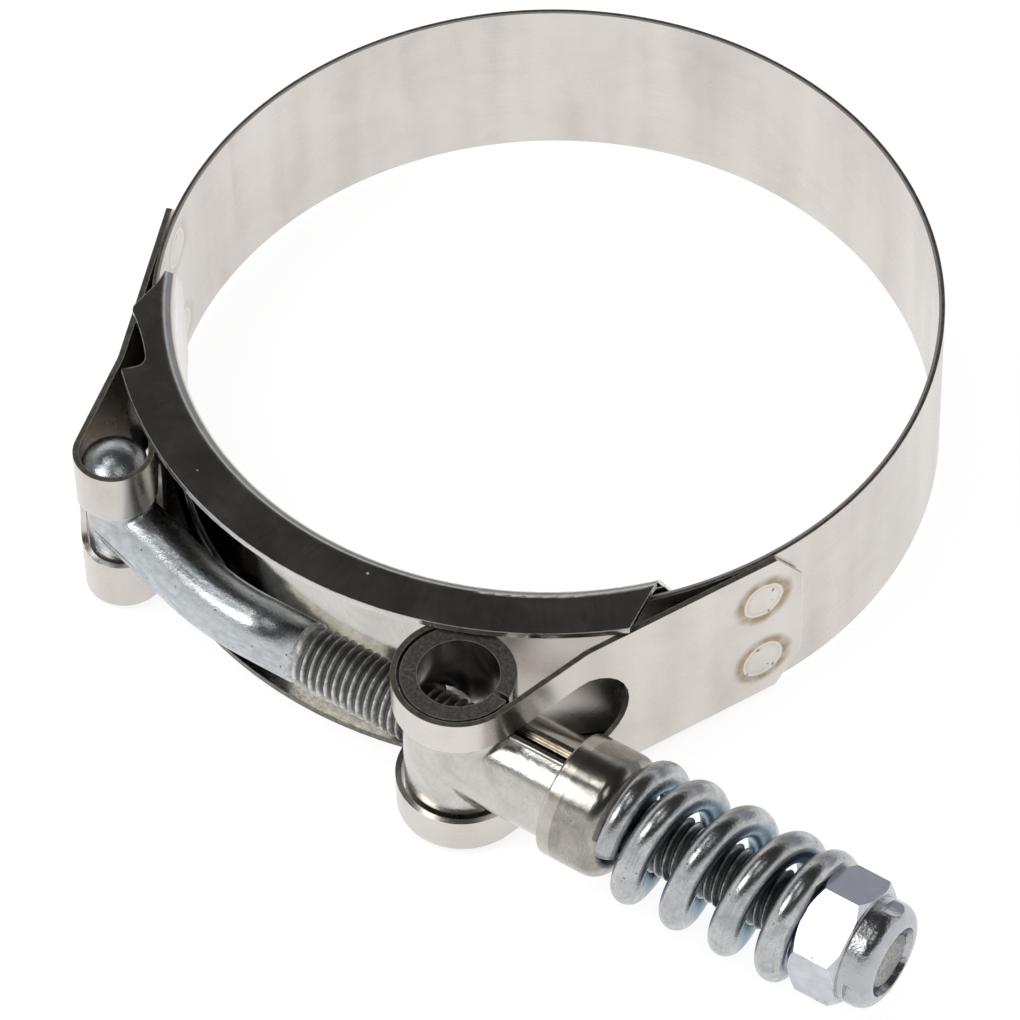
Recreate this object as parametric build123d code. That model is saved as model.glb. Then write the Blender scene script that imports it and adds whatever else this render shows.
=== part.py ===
# Spring-loaded T-bolt hose clamp, lying flat as it would on a bench.
# Origin: on the hose axis, at mid-width of the band. +Z is the hose axis.
# +X runs along the bolt from its T-head towards the nut, and the bolt lies on the -Y side.
# All sizes are in millimetres.
from math import acos, asin, atan2, cos, degrees, hypot, radians, sin, sqrt, tan
import os

from build123d import *

# Hose and band
HOSE_RADIUS = 36.95            # the round hose end that the open clamp takes
FREE_RING_EXTRA = 1.05         # the free ring's inner radius is this much larger
BAND_WIDTH = 19.05             # a three quarter inch band
BAND_THICKNESS = 0.6
LAYER_GAP = 0.05               # air between layers of the strip that lie on each other
LEG_CHAMFER_LENGTH = 2.9       # cut corners of the leg's end, along the leg
LEG_CHAMFER_HEIGHT = 4.0       # and across it
LEG_BEND_RADIUS = 6.0
INNER_BEND_RISE = 4.0          # the inner leg bends this much nearer the ring than the outer leg
NECK_RADIUS = 0.45             # mean radius of the tight fold where the trunnion's loop closes
WELD_RADIUS = 2.3              # mark left by the electrode at each spot weld
WELD_MARK_DEPTH = 0.06
WELD_CORE = 1.8                # radius of the joined metal under the mark

# Trunnion end of the band, on the nut's side
BOLT_STANDOFF = 6.65           # from the hose to the bolt axis
TRUNNION_ANGLE = 22.99         # the trunnion's place round the hose, from the -Y axis
TRUNNION_LEG_ANGLE = 24.7      # where the outer leg touches the ring, below the +X axis
TRUNNION_LEG_LENGTH = 19.6     # from that point to the bend in the leg
TRUNNION_LEG_OVERRUN = 4.2     # straight end of the leg past that point
TRUNNION_SLOT_HALF = 5.6       # half height of the slot that splits the loop
TRUNNION_SLOT_PAST_BEND = 4.4
TRUNNION_WELD_Z = 4.5
TRUNNION_WELD_ANGLE = 25.0

# T-head end of the band
T_HEAD_STANDOFF = 9.33         # from the hose to the T-head's axis
T_HEAD_ANGLE = 31.53           # its place round the hose, from the -Y axis
T_LEG_ANGLE = 22.0
T_LEG_LENGTH = 15.1
T_LEG_OVERRUN = 7.4
T_SLOT_HALF = 3.7
T_SLOT_PAST_BEND = 3.0
T_WELD_Z = 6.0
T_WELD_ANGLE = 18.2

# Bridge: the curved channel that closes the gap between the loops from inside
BRIDGE_THICKNESS = 0.7
BRIDGE_SIDE_CLEARANCE = 0.175  # between a flange and the band's edge
BRIDGE_DEPTH = 5.85            # from the hose to the rim of the flanges
BRIDGE_BEND_RADIUS = 1.6       # outside of the bend from web to flange
BRIDGE_T_END = 205.5           # web end beside the T-head, degrees about the hose axis
BRIDGE_TRUNNION_END = 323.0    # web end beside the trunnion
WEB_TONGUE_HALF = 5.3          # half height of the web's square end between its cut corners
WEB_CORNER_TRIM = 4.5          # degrees taken off the web at the flanges
T_NOTCH_ANGLE = 21.7           # degrees from the web's end to the notch in the flange beside the T-head
T_NOTCH_TRIM = 2.45            # the flange is lower by this at the notch
T_NOTCH_RADIUS = 1.2
T_WAIST_ANGLE = 16.9
T_WAIST_TRIM = 2.6
T_HORN_ANGLE = 11.3            # the low flange ends in a horn, and falls to its foot from there
T_HORN_TRIM = 1.75
T_HORN_RADIUS = 1.2
T_FOOT_ANGLE = 6.6
T_FOOT_TRIM = 4.3
TRUNNION_FLANGE_SLANT = 9.7    # degrees from the web's end to the slanted end's outer corner

# Bolt
BOLT_RADIUS = 3.175            # a quarter inch
THREAD_CLEARANCE = 0.055       # the plain rod is this much under the bolt's radius
THREAD_LENGTH = 65.4
BOLT_END_RECESS = 0.4          # the bolt's end from the nut's outer end
BOLT_END_CHAMFER = 0.5
BOLT_BEND_RUN = 14.7           # from the T-head's axis to the bend, along X
BOLT_BEND_RADIUS = 30.0
T_HEAD_RADIUS = 3.17
T_HEAD_EDGE_Z = 7.9            # where the domed end starts
T_HEAD_DOME = 1.25
T_HEAD_FILLET = 1.2
T_LOOP_CLEARANCE = 0.17

# Trunnion: one folded sheet, a split barrel that runs into a split sleeve
BARREL_RADIUS = 5.5
BARREL_WALL = 1.6
BARREL_HALF_HEIGHT = 9.4
BARREL_CLEARANCE = 0.3         # to the loop round it
SLEEVE_RADIUS = 5.15
SLEEVE_WALL = 1.5
SLEEVE_LENGTH = 17.1           # from the barrel's axis
TRUNNION_FILLET = 1.1
SEAM_WIDTH = 0.5               # gap between the sheet's two edges, through its wall
GROOVE_WIDTH = 1.2             # the wider groove along the seam, between the lips
GROOVE_DEPTH = 0.5             # below the sleeve's face
LIP_WIDTH = 0.55               # each edge of the sheet stands up a little along the sleeve
LIP_HEIGHT = 0.3
LIP_START = 0.9                # from the barrel
LIP_END = 0.2                  # from the cup
LIP_ROUND = 0.15

# Cup pressed on the sleeve's end, which carries the spring
CUP_LENGTH = 6.6
CUP_WALL = 1.08
CUP_FLOOR = 1.4
CUP_SEAT = 0.6                 # the sleeve's end stays this far off the cup's floor
CUP_FIT = 0.02                 # between the cup and the sleeve
CUP_HOLE = 3.7
CUP_EDGE_RADIUS = 2.0
CUP_INNER_RADIUS = 0.55        # inside the same corner
CUP_MOUTH_RADIUS = 0.3

# Spring
WIRE_RADIUS = 1.5
COIL_RADIUS = 5.45             # mean radius of the coils
SPRING_LENGTH = 20.7
COIL_PITCH = 5.35
CLOSED_PITCH = 2.3             # over the first and last part of a turn
CLOSED_TURNS = 0.75
TIP_INSET = 0.4                # middle of the wire's tip from the ground end face
SPRING_START_ANGLE = 158.0     # place of the wire's tip at the cup, about +X from +Y
POINTS_PER_TURN = 12

# Lock nut
NUT_ACROSS_FLATS = 11.11       # seven sixteenths of an inch
NUT_HEX_LENGTH = 5.0
NUT_LENGTH = 8.0
NUT_CLEARANCE = 0.08           # between the plain rod and the nut's bore
NUT_CHAMFER_RISE = 0.75
NUT_TURN = 33.0                # turn of the hexagon about the bolt, degrees
COLLAR_RADIUS = 5.3
COLLAR_EDGE_RADIUS = 1.6
COLLAR_MOUTH = 0.35            # the collar's mouth is this much wider than the bore
CRIMP_DEPTH = 0.35
CRIMP_RADIUS = 5.0
CRIMP_START = 0.75             # from the hexagon's outer face
CRIMP_COUNT = 3                # each over the middle of a facet

# Worked out
BAND_RADIUS = HOSE_RADIUS + FREE_RING_EXTRA
MEAN_RING_RADIUS = BAND_RADIUS + BAND_THICKNESS / 2
LAYER_STEP = BAND_THICKNESS + LAYER_GAP
HALF_WIDTH = BAND_WIDTH / 2
BRIDGE_HALF = HALF_WIDTH + BRIDGE_SIDE_CLEARANCE + BRIDGE_THICKNESS
FLANGE_UNDERSIDE = BRIDGE_HALF - BRIDGE_THICKNESS
WEB_OUTER_RADIUS = HOSE_RADIUS + BRIDGE_THICKNESS
BRIDGE_OUTER_RADIUS = HOSE_RADIUS + BRIDGE_DEPTH
BOLT_OFFSET = HOSE_RADIUS + BOLT_STANDOFF
THREAD_RADIUS = BOLT_RADIUS - THREAD_CLEARANCE
TRUNNION_X = BOLT_OFFSET * tan(radians(TRUNNION_ANGLE))
T_HEAD_X = -(HOSE_RADIUS + T_HEAD_STANDOFF) * sin(radians(T_HEAD_ANGLE))
T_HEAD_Y = -(HOSE_RADIUS + T_HEAD_STANDOFF) * cos(radians(T_HEAD_ANGLE))
SLEEVE_END_X = TRUNNION_X + SLEEVE_LENGTH
CUP_RADIUS = SLEEVE_RADIUS + CUP_FIT + CUP_WALL
CUP_FACE_X = SLEEVE_END_X + CUP_SEAT + CUP_FLOOR
CUP_START_X = CUP_FACE_X - CUP_LENGTH
NUT_FACE_X = CUP_FACE_X + SPRING_LENGTH
NUT_HEX_END_X = NUT_FACE_X + NUT_HEX_LENGTH
NUT_END_X = NUT_FACE_X + NUT_LENGTH
NUT_BORE = THREAD_RADIUS + NUT_CLEARANCE
BOLT_END_X = NUT_END_X - BOLT_END_RECESS
THREAD_START_X = BOLT_END_X - THREAD_LENGTH
BOLT_BEND_X = T_HEAD_X + BOLT_BEND_RUN
OUTSIDE = 5.0                  # how far a cutter runs past what it cuts
CUTTER_REACH = 4.0             # a slot's cutter is this many times as long as loop and slot are wide
HEXAGON_SIDES = 6


def polar(radius, angle, centre=(0.0, 0.0)):
    """Point at an angle in degrees round a centre."""
    return (centre[0] + radius * cos(radians(angle)), centre[1] + radius * sin(radians(angle)))


def along(point, heading, distance):
    """Point reached from another by going straight on a heading in degrees."""
    return polar(distance, heading, point)


def line_piece(start, end):
    return ("line", start, end)


def arc_piece(centre, radius, start_angle, sweep):
    return ("arc", centre, radius, start_angle, sweep)


def bend_piece(corner, heading_in, heading_out, radius):
    """Arc that rounds a corner, with its first and last point."""
    turn = (heading_out - heading_in + 180) % 360 - 180
    run = radius * abs(tan(radians(turn / 2)))
    start = along(corner, heading_in, -run)
    side = 90 if turn > 0 else -90
    centre = along(start, heading_in + side, radius)
    return arc_piece(centre, radius, heading_in - side, turn), start, along(corner, heading_out, run)


def outer_leg(loop_centre, loop_radius, leg_angle, leg_length, overrun):
    """Middle line of an outer leg from its free end to its loop, with its heading and its last run.

    Drawn for the +X side, about the ring's centre.
    """
    leg_radius = MEAN_RING_RADIUS + LAYER_STEP
    touch = polar(leg_radius, -leg_angle)
    down = 270 - leg_angle
    bend = along(touch, down, leg_length)
    reach = hypot(loop_centre[0] - bend[0], loop_centre[1] - bend[1])
    towards_loop = degrees(atan2(loop_centre[1] - bend[1], loop_centre[0] - bend[0])) % 360
    heading = towards_loop + degrees(asin(loop_radius / reach))
    tangent_run = sqrt(reach ** 2 - loop_radius ** 2)
    outer_bend, outer_bend_start, outer_bend_end = bend_piece(bend, down, heading, LEG_BEND_RADIUS)
    loop_start = along(bend, heading, tangent_run)
    pieces = [
        line_piece(along(touch, down, -overrun), outer_bend_start),
        outer_bend,
        line_piece(outer_bend_end, loop_start),
    ]
    return pieces, heading, tangent_run


def hugging_end(loop_centre, loop_radius, leg_angle, leg_length, overrun):
    """Middle line of a folded end whose loop closes tightly, so that both legs lie together.

    The angle where it meets the ring comes back too.
    """
    pieces, heading, tangent_run = outer_leg(loop_centre, loop_radius, leg_angle, leg_length, overrun)
    side = heading + 90
    opening = degrees(acos((loop_radius - LAYER_STEP - NECK_RADIUS) / (loop_radius + NECK_RADIUS)))
    neck_centre = polar(loop_radius + NECK_RADIUS, side + opening, loop_centre)
    neck_end = polar(NECK_RADIUS, side, neck_centre)

    foot = polar(loop_radius - LAYER_STEP, side, loop_centre)
    inner_bend = along(foot, heading + 180, tangent_run + INNER_BEND_RISE)
    distance = hypot(*inner_bend)
    place = degrees(atan2(inner_bend[1], inner_bend[0]))
    ring_angle = place + degrees(acos(MEAN_RING_RADIUS / distance))
    up = ring_angle + 90
    inner_arc, inner_start, inner_end = bend_piece(inner_bend, heading + 180, up, LEG_BEND_RADIUS)

    pieces += [
        arc_piece(loop_centre, loop_radius, side, opening - 360),
        arc_piece(neck_centre, NECK_RADIUS, side + opening + 180, 180 - opening),
        line_piece(neck_end, inner_start),
        inner_arc,
        line_piece(inner_end, polar(MEAN_RING_RADIUS, ring_angle)),
    ]
    return pieces, ring_angle


def open_end(loop_centre, loop_radius, leg_angle, leg_length, overrun):
    """Middle line of a folded end like a drop, whose inner leg runs straight from the loop to the ring.

    The angle where it meets the ring comes back too.
    """
    pieces, heading, _ = outer_leg(loop_centre, loop_radius, leg_angle, leg_length, overrun)
    side = heading + 90
    place = degrees(atan2(loop_centre[1], loop_centre[0]))
    ring_angle = place + degrees(acos((MEAN_RING_RADIUS + loop_radius) / hypot(*loop_centre)))
    loop_end = ring_angle + 180
    pieces += [
        arc_piece(loop_centre, loop_radius, side, (loop_end - side) % 360 - 360),
        line_piece(polar(loop_radius, loop_end, loop_centre), polar(MEAN_RING_RADIUS, ring_angle)),
    ]
    return pieces, ring_angle


def mirrored(pieces):
    """The same path seen in a mirror across the Y axis, travelled the other way."""
    result = []
    for kind, *values in reversed(pieces):
        if kind == "line":
            start, end = values
            result.append(line_piece((-end[0], end[1]), (-start[0], start[1])))
        else:
            centre, radius, start_angle, sweep = values
            result.append(arc_piece((-centre[0], centre[1]), radius, 180 - start_angle - sweep, sweep))
    return result


def offset_edge(piece, offset):
    """Edge that runs beside a piece of a path, to its left where the offset is positive."""
    kind, *values = piece
    if kind == "line":
        start, end = values
        heading = degrees(atan2(end[1] - start[1], end[0] - start[0]))
        return Line(along(start, heading + 90, offset), along(end, heading + 90, offset))
    centre, radius, start_angle, sweep = values
    side_radius = radius - offset if sweep > 0 else radius + offset
    return CenterArc(centre, side_radius, start_angle, sweep)


def strip_face(pieces, thickness):
    """Closed outline of a strip of one thickness that follows a path."""
    left = [offset_edge(piece, thickness / 2) for piece in pieces]
    right = [offset_edge(piece, -thickness / 2) for piece in pieces]
    caps = [Line(left[0] @ 0, right[0] @ 0), Line(left[-1] @ 1, right[-1] @ 1)]
    return make_face([*left, *right, *caps])


def leg_plane(leg_angle, leg_length, side):
    """Plane of an outer leg: x runs up the leg from its bend, y is +Z, z points out of the ring."""
    bend = along(polar(BAND_RADIUS, -leg_angle), 270 - leg_angle, leg_length)
    origin = (side * bend[0], bend[1] - FREE_RING_EXTRA, 0)
    up = along((0, 0), 90 - leg_angle, 1)
    outward = polar(1, -leg_angle)
    return Plane(origin=origin, x_dir=(side * up[0], up[1], 0), z_dir=(side * outward[0], outward[1], 0))


def slot_cutter(plane, half_height, past_bend, loop_reach):
    """Long slot with one round end, which splits both legs and the loop."""
    end_centre = past_bend - half_height
    outline = Pos(end_centre - loop_reach / 2, 0) * Rectangle(loop_reach, 2 * half_height)
    outline += Pos(end_centre, 0) * Circle(half_height)
    return extrude(plane * outline, amount=loop_reach, both=True)


def corner_cutters(plane, leg_length, overrun):
    """Wedges that take the two corners off a leg's free end."""
    end = leg_length + overrun
    wedge = make_face(Polyline(
        (end - LEG_CHAMFER_LENGTH, HALF_WIDTH),
        (end, HALF_WIDTH - LEG_CHAMFER_HEIGHT),
        (end + 1, HALF_WIDTH + 1),
        (end - LEG_CHAMFER_LENGTH, HALF_WIDTH + 1),
        close=True,
    ))
    outside = BAND_THICKNESS + LAYER_GAP / 2
    above = extrude(plane.offset(outside) * wedge, amount=2 * BAND_THICKNESS)
    return above + mirror(above, Plane.XY)


def weld_axis_plane(side, angle):
    """Plane at a spot weld on the ring's inner face, with z out of the ring."""
    place = polar(BAND_RADIUS, -angle)
    outward = polar(1, -angle)
    return Plane(origin=(side * place[0], place[1] - FREE_RING_EXTRA, 0), z_dir=(side * outward[0], outward[1], 0))


def weld_nuggets(side, angle, height):
    """Two short plugs of metal that join the outer leg to the ring."""
    plane = weld_axis_plane(side, angle)
    depth = BAND_THICKNESS / 2
    plug = extrude(plane.offset(depth) * Circle(WELD_CORE), amount=LAYER_STEP + LAYER_GAP)
    return Pos(0, 0, height) * plug + Pos(0, 0, -height) * plug


def weld_marks(side, angle, height, leg, leg_angle, leg_length):
    """Shallow round dents of the electrodes, inside the ring and outside the leg."""
    plane = weld_axis_plane(side, angle)
    inside = extrude(plane.offset(-OUTSIDE) * Circle(WELD_RADIUS), amount=OUTSIDE + WELD_MARK_DEPTH)
    outer_face = 2 * BAND_THICKNESS + LAYER_GAP
    place = leg_length + MEAN_RING_RADIUS * tan(radians(leg_angle - angle))
    spot = Pos(place, 0) * Circle(WELD_RADIUS)
    outside = extrude(leg.offset(outer_face - WELD_MARK_DEPTH) * spot, amount=OUTSIDE)
    marks = inside + outside
    return Pos(0, 0, height) * marks + Pos(0, 0, -height) * marks


def make_band():
    """One strip: the ring, and at each end a slotted loop whose outer leg is welded back on."""
    trunnion_centre = (TRUNNION_X, FREE_RING_EXTRA - BOLT_OFFSET)
    trunnion_loop = BARREL_RADIUS + BARREL_CLEARANCE + BAND_THICKNESS / 2
    t_centre = (-T_HEAD_X, FREE_RING_EXTRA + T_HEAD_Y)
    t_loop = T_HEAD_RADIUS + T_LOOP_CLEARANCE + BAND_THICKNESS / 2
    right, right_angle = hugging_end(
        trunnion_centre, trunnion_loop, TRUNNION_LEG_ANGLE, TRUNNION_LEG_LENGTH, TRUNNION_LEG_OVERRUN
    )
    left, left_angle = open_end(t_centre, t_loop, T_LEG_ANGLE, T_LEG_LENGTH, T_LEG_OVERRUN)
    ring = arc_piece((0, 0), MEAN_RING_RADIUS, right_angle, 180 - left_angle - right_angle)
    face = strip_face([*right, ring, *mirrored(left)], BAND_THICKNESS)
    band = Pos(0, -FREE_RING_EXTRA, 0) * extrude(face, amount=HALF_WIDTH, both=True)

    trunnion_plane = leg_plane(TRUNNION_LEG_ANGLE, TRUNNION_LEG_LENGTH, 1)
    t_plane = leg_plane(T_LEG_ANGLE, T_LEG_LENGTH, -1)
    trunnion_reach = CUTTER_REACH * (trunnion_loop + TRUNNION_SLOT_HALF)
    band -= slot_cutter(trunnion_plane, TRUNNION_SLOT_HALF, TRUNNION_SLOT_PAST_BEND, trunnion_reach)
    t_reach = CUTTER_REACH * (t_loop + T_SLOT_HALF)
    band -= slot_cutter(t_plane, T_SLOT_HALF, T_SLOT_PAST_BEND, t_reach)
    band -= corner_cutters(trunnion_plane, TRUNNION_LEG_LENGTH, TRUNNION_LEG_OVERRUN)
    band -= corner_cutters(t_plane, T_LEG_LENGTH, T_LEG_OVERRUN)
    band += weld_nuggets(1, TRUNNION_WELD_ANGLE, TRUNNION_WELD_Z)
    band += weld_nuggets(-1, T_WELD_ANGLE, T_WELD_Z)
    band -= weld_marks(
        1, TRUNNION_WELD_ANGLE, TRUNNION_WELD_Z, trunnion_plane, TRUNNION_LEG_ANGLE, TRUNNION_LEG_LENGTH
    )
    band -= weld_marks(-1, T_WELD_ANGLE, T_WELD_Z, t_plane, T_LEG_ANGLE, T_LEG_LENGTH)
    return band


def bridge_section():
    """Section of the channel, its web towards the hose, with rounded bends."""
    section = make_face(Polyline(
        (HOSE_RADIUS, -BRIDGE_HALF),
        (BRIDGE_OUTER_RADIUS, -BRIDGE_HALF),
        (BRIDGE_OUTER_RADIUS, -FLANGE_UNDERSIDE),
        (WEB_OUTER_RADIUS, -FLANGE_UNDERSIDE),
        (WEB_OUTER_RADIUS, FLANGE_UNDERSIDE),
        (BRIDGE_OUTER_RADIUS, FLANGE_UNDERSIDE),
        (BRIDGE_OUTER_RADIUS, BRIDGE_HALF),
        (HOSE_RADIUS, BRIDGE_HALF),
        close=True,
    ))
    corners = section.vertices().group_by(Axis.X)
    section = fillet(corners[0], BRIDGE_BEND_RADIUS)
    inner = section.vertices().filter_by(
        lambda v: abs(v.X - WEB_OUTER_RADIUS) < LAYER_GAP and abs(abs(v.Y) - FLANGE_UNDERSIDE) < LAYER_GAP
    )
    return fillet(inner, BRIDGE_BEND_RADIUS - BRIDGE_THICKNESS)


def t_end_flange_cutter():
    """Plan of what is missing from both flanges beside the T-head: a low stretch and a falling end."""
    far = BRIDGE_OUTER_RADIUS + OUTSIDE
    web_edge = WEB_OUTER_RADIUS + BRIDGE_THICKNESS / 2
    before = BRIDGE_T_END - OUTSIDE
    step = BRIDGE_T_END + T_NOTCH_ANGLE
    notch = polar(BRIDGE_OUTER_RADIUS - T_NOTCH_TRIM, step)
    waist = polar(BRIDGE_OUTER_RADIUS - T_WAIST_TRIM, BRIDGE_T_END + T_WAIST_ANGLE)
    horn = polar(BRIDGE_OUTER_RADIUS - T_HORN_TRIM, BRIDGE_T_END + T_HORN_ANGLE)
    low = ThreePointArc(horn, waist, notch)
    rest = Polyline(
        notch,
        polar(far, step),
        polar(far, before),
        polar(web_edge, before),
        polar(web_edge, BRIDGE_T_END + WEB_CORNER_TRIM),
        polar(BRIDGE_OUTER_RADIUS - T_FOOT_TRIM, BRIDGE_T_END + T_FOOT_ANGLE),
        horn,
    )
    plan = make_face([low, *rest.edges()])
    plan = fillet(plan.vertices().sort_by_distance(notch)[0], T_NOTCH_RADIUS)
    return fillet(plan.vertices().sort_by_distance(horn)[0], T_HORN_RADIUS)


def trunnion_end_flange_cutter():
    """Plan of the slanted end of both flanges beside the trunnion."""
    far = BRIDGE_OUTER_RADIUS + OUTSIDE
    web_edge = WEB_OUTER_RADIUS + BRIDGE_THICKNESS / 2
    end = BRIDGE_TRUNNION_END - WEB_CORNER_TRIM
    after = BRIDGE_TRUNNION_END + OUTSIDE
    tip = polar(BRIDGE_OUTER_RADIUS, BRIDGE_TRUNNION_END - TRUNNION_FLANGE_SLANT)
    root = polar(web_edge, end)
    slope = degrees(atan2(tip[1] - root[1], tip[0] - root[0]))
    return make_face(Polyline(
        root, along(tip, slope, OUTSIDE), polar(far, after), polar(web_edge, after), close=True,
    ))


def web_corner_cutter(end_angle, inward):
    """Wedges that cut the web's upper and lower corner at one end."""
    place = polar(HOSE_RADIUS, end_angle)
    tangent = polar(1, end_angle + 90 * inward)
    plane = Plane(origin=(*place, 0), x_dir=(*tangent, 0), z_dir=(*polar(1, end_angle), 0))
    run = HOSE_RADIUS * radians(WEB_CORNER_TRIM)
    wedge = make_face(Polyline(
        (-OUTSIDE, WEB_TONGUE_HALF),
        (0, WEB_TONGUE_HALF),
        (run, BRIDGE_HALF),
        (run, BRIDGE_HALF + OUTSIDE),
        (-OUTSIDE, BRIDGE_HALF + OUTSIDE),
        close=True,
    ))
    wedge += mirror(wedge, Plane.XZ)
    return extrude(plane * wedge, amount=OUTSIDE, both=True)


def make_bridge():
    """Channel bent round the hose, open outwards, that holds the band between its flanges."""
    span = BRIDGE_TRUNNION_END - BRIDGE_T_END
    channel = revolve(Plane.XZ * bridge_section(), axis=Axis.Z, revolution_arc=span)
    bridge = Rot(0, 0, BRIDGE_T_END) * channel
    bridge -= extrude(t_end_flange_cutter(), amount=BRIDGE_HALF + OUTSIDE, both=True)
    bridge -= extrude(trunnion_end_flange_cutter(), amount=BRIDGE_HALF + OUTSIDE, both=True)
    bridge -= web_corner_cutter(BRIDGE_T_END, 1)
    bridge -= web_corner_cutter(BRIDGE_TRUNNION_END, -1)
    return bridge


def make_t_bolt():
    """Forged bolt: a cross head with domed ends, a bent shank and a straight threaded length."""
    head_top = T_HEAD_EDGE_Z + T_HEAD_DOME
    outline = [
        Line((0, -head_top), (0, head_top)),
        ThreePointArc((0, head_top), dome_point(1), (T_HEAD_RADIUS, T_HEAD_EDGE_Z)),
        Line((T_HEAD_RADIUS, T_HEAD_EDGE_Z), (T_HEAD_RADIUS, -T_HEAD_EDGE_Z)),
        ThreePointArc((T_HEAD_RADIUS, -T_HEAD_EDGE_Z), dome_point(-1), (0, -head_top)),
    ]
    head = Pos(T_HEAD_X, T_HEAD_Y, 0) * revolve(Plane.XZ * make_face(outline), axis=Axis.Z)

    corner = (BOLT_BEND_X, -BOLT_OFFSET)
    slope = degrees(atan2(T_HEAD_Y + BOLT_OFFSET, T_HEAD_X - BOLT_BEND_X))
    bend, bend_start, bend_end = bend_piece(corner, 180, slope % 360, BOLT_BEND_RADIUS)
    path = Curve() + [
        Line((THREAD_START_X, -BOLT_OFFSET), bend_start),
        offset_edge(bend, 0),
        Line(bend_end, (T_HEAD_X, T_HEAD_Y)),
    ]
    start = Plane(origin=(THREAD_START_X, -BOLT_OFFSET, 0), z_dir=(-1, 0, 0))
    shank = sweep(start * Circle(BOLT_RADIUS), path=path)
    bolt = head + shank
    joint = bolt.edges().filter_by(lambda e: e.geom_type not in (GeomType.CIRCLE, GeomType.LINE))
    bolt = fillet(joint.filter_by(lambda e: e.bounding_box().size.Z < 2 * T_HEAD_EDGE_Z), T_HEAD_FILLET)

    thread = Plane(origin=(THREAD_START_X - LAYER_GAP, -BOLT_OFFSET, 0), z_dir=(1, 0, 0))
    length = BOLT_END_X - THREAD_START_X + LAYER_GAP
    rod = extrude(thread * Circle(THREAD_RADIUS), amount=length)
    rod = chamfer(rod.faces().sort_by(Axis.X)[-1].edges(), BOLT_END_CHAMFER)
    return bolt + rod


def dome_point(side):
    """Point half way along the arc of the T-head's domed end."""
    sphere = (T_HEAD_RADIUS ** 2 + T_HEAD_DOME ** 2) / (2 * T_HEAD_DOME)
    half_angle = asin(T_HEAD_RADIUS / sphere) / 2
    centre = T_HEAD_EDGE_Z + T_HEAD_DOME - sphere
    return (sphere * sin(half_angle), side * (centre + sphere * cos(half_angle)))


def rod_along_x(radius, start, end):
    """Cylinder on the bolt's axis."""
    plane = Plane(origin=(start, -BOLT_OFFSET, 0), z_dir=(1, 0, 0))
    return extrude(plane * Circle(radius), amount=end - start)


def seam_lips():
    """The sheet's edges, standing up beside the seam on the sleeve's top and bottom."""
    width = GROOVE_WIDTH + 2 * LIP_WIDTH
    start = TRUNNION_X + BARREL_RADIUS + LIP_START
    length = CUP_START_X - LIP_END - start
    lips = Box(length, width, 2 * (SLEEVE_RADIUS + LIP_HEIGHT))
    lips = fillet(lips.edges().filter_by(Axis.X), LIP_ROUND)
    return Pos(start + length / 2, -BOLT_OFFSET, 0) * lips


def make_trunnion():
    """One sheet, folded round into a barrel whose two edges go on as the halves of a sleeve."""
    middle = Pos(TRUNNION_X, -BOLT_OFFSET, 0)
    body = middle * Cylinder(BARREL_RADIUS, 2 * BARREL_HALF_HEIGHT)
    body += rod_along_x(SLEEVE_RADIUS, TRUNNION_X, SLEEVE_END_X)
    joint = body.edges().filter_by(lambda e: e.geom_type not in (GeomType.CIRCLE, GeomType.LINE))
    body = fillet(joint, TRUNNION_FILLET) + seam_lips()
    body -= middle * Cylinder(BARREL_RADIUS - BARREL_WALL, 2 * BARREL_HALF_HEIGHT)
    body -= rod_along_x(SLEEVE_RADIUS - SLEEVE_WALL, TRUNNION_X - BARREL_RADIUS, SLEEVE_END_X)
    seam_length = SLEEVE_END_X - TRUNNION_X
    body -= Pos(seam_length / 2, 0, 0) * middle * Box(seam_length, SEAM_WIDTH, 2 * BARREL_HALF_HEIGHT)
    groove_start = TRUNNION_X + BARREL_RADIUS + LIP_START
    groove_length = SLEEVE_END_X - groove_start
    core = Box(groove_length, GROOVE_WIDTH, 2 * (SLEEVE_RADIUS - GROOVE_DEPTH))
    grooves = Box(groove_length, GROOVE_WIDTH, 2 * (SLEEVE_RADIUS + LIP_HEIGHT)) - core
    return body - Pos(groove_start + groove_length / 2, -BOLT_OFFSET, 0) * grooves


def turned(face):
    """Solid of revolution about the bolt's axis from a face drawn as x and radius."""
    return Pos(0, -BOLT_OFFSET, 0) * revolve(face, axis=Axis.X)


def make_spring_cup():
    """Deep-drawn cup, open towards the trunnion, whose floor carries the spring."""
    bore = SLEEVE_RADIUS + CUP_FIT
    floor_x = CUP_FACE_X - CUP_FLOOR
    face = make_face(Polyline(
        (CUP_START_X, bore),
        (floor_x, bore),
        (floor_x, CUP_HOLE),
        (CUP_FACE_X, CUP_HOLE),
        (CUP_FACE_X, CUP_RADIUS),
        (CUP_START_X, CUP_RADIUS),
        close=True,
    ))
    shoulder = face.vertices().sort_by_distance((CUP_FACE_X, CUP_RADIUS))[0]
    face = fillet(shoulder, CUP_EDGE_RADIUS)
    corner = face.vertices().sort_by_distance((floor_x, bore))[0]
    face = fillet(corner, CUP_INNER_RADIUS)
    mouth = face.vertices().sort_by_distance((CUP_START_X, CUP_RADIUS))[0]
    return turned(fillet(mouth, CUP_MOUTH_RADIUS))


def spring_station(turns, active_turns):
    """Distance of the wire's middle from the spring's first end after a number of turns."""
    first = min(turns, CLOSED_TURNS)
    middle = min(max(turns - CLOSED_TURNS, 0), active_turns)
    last = max(turns - CLOSED_TURNS - active_turns, 0)
    return TIP_INSET + (first + last) * CLOSED_PITCH + middle * COIL_PITCH


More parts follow.
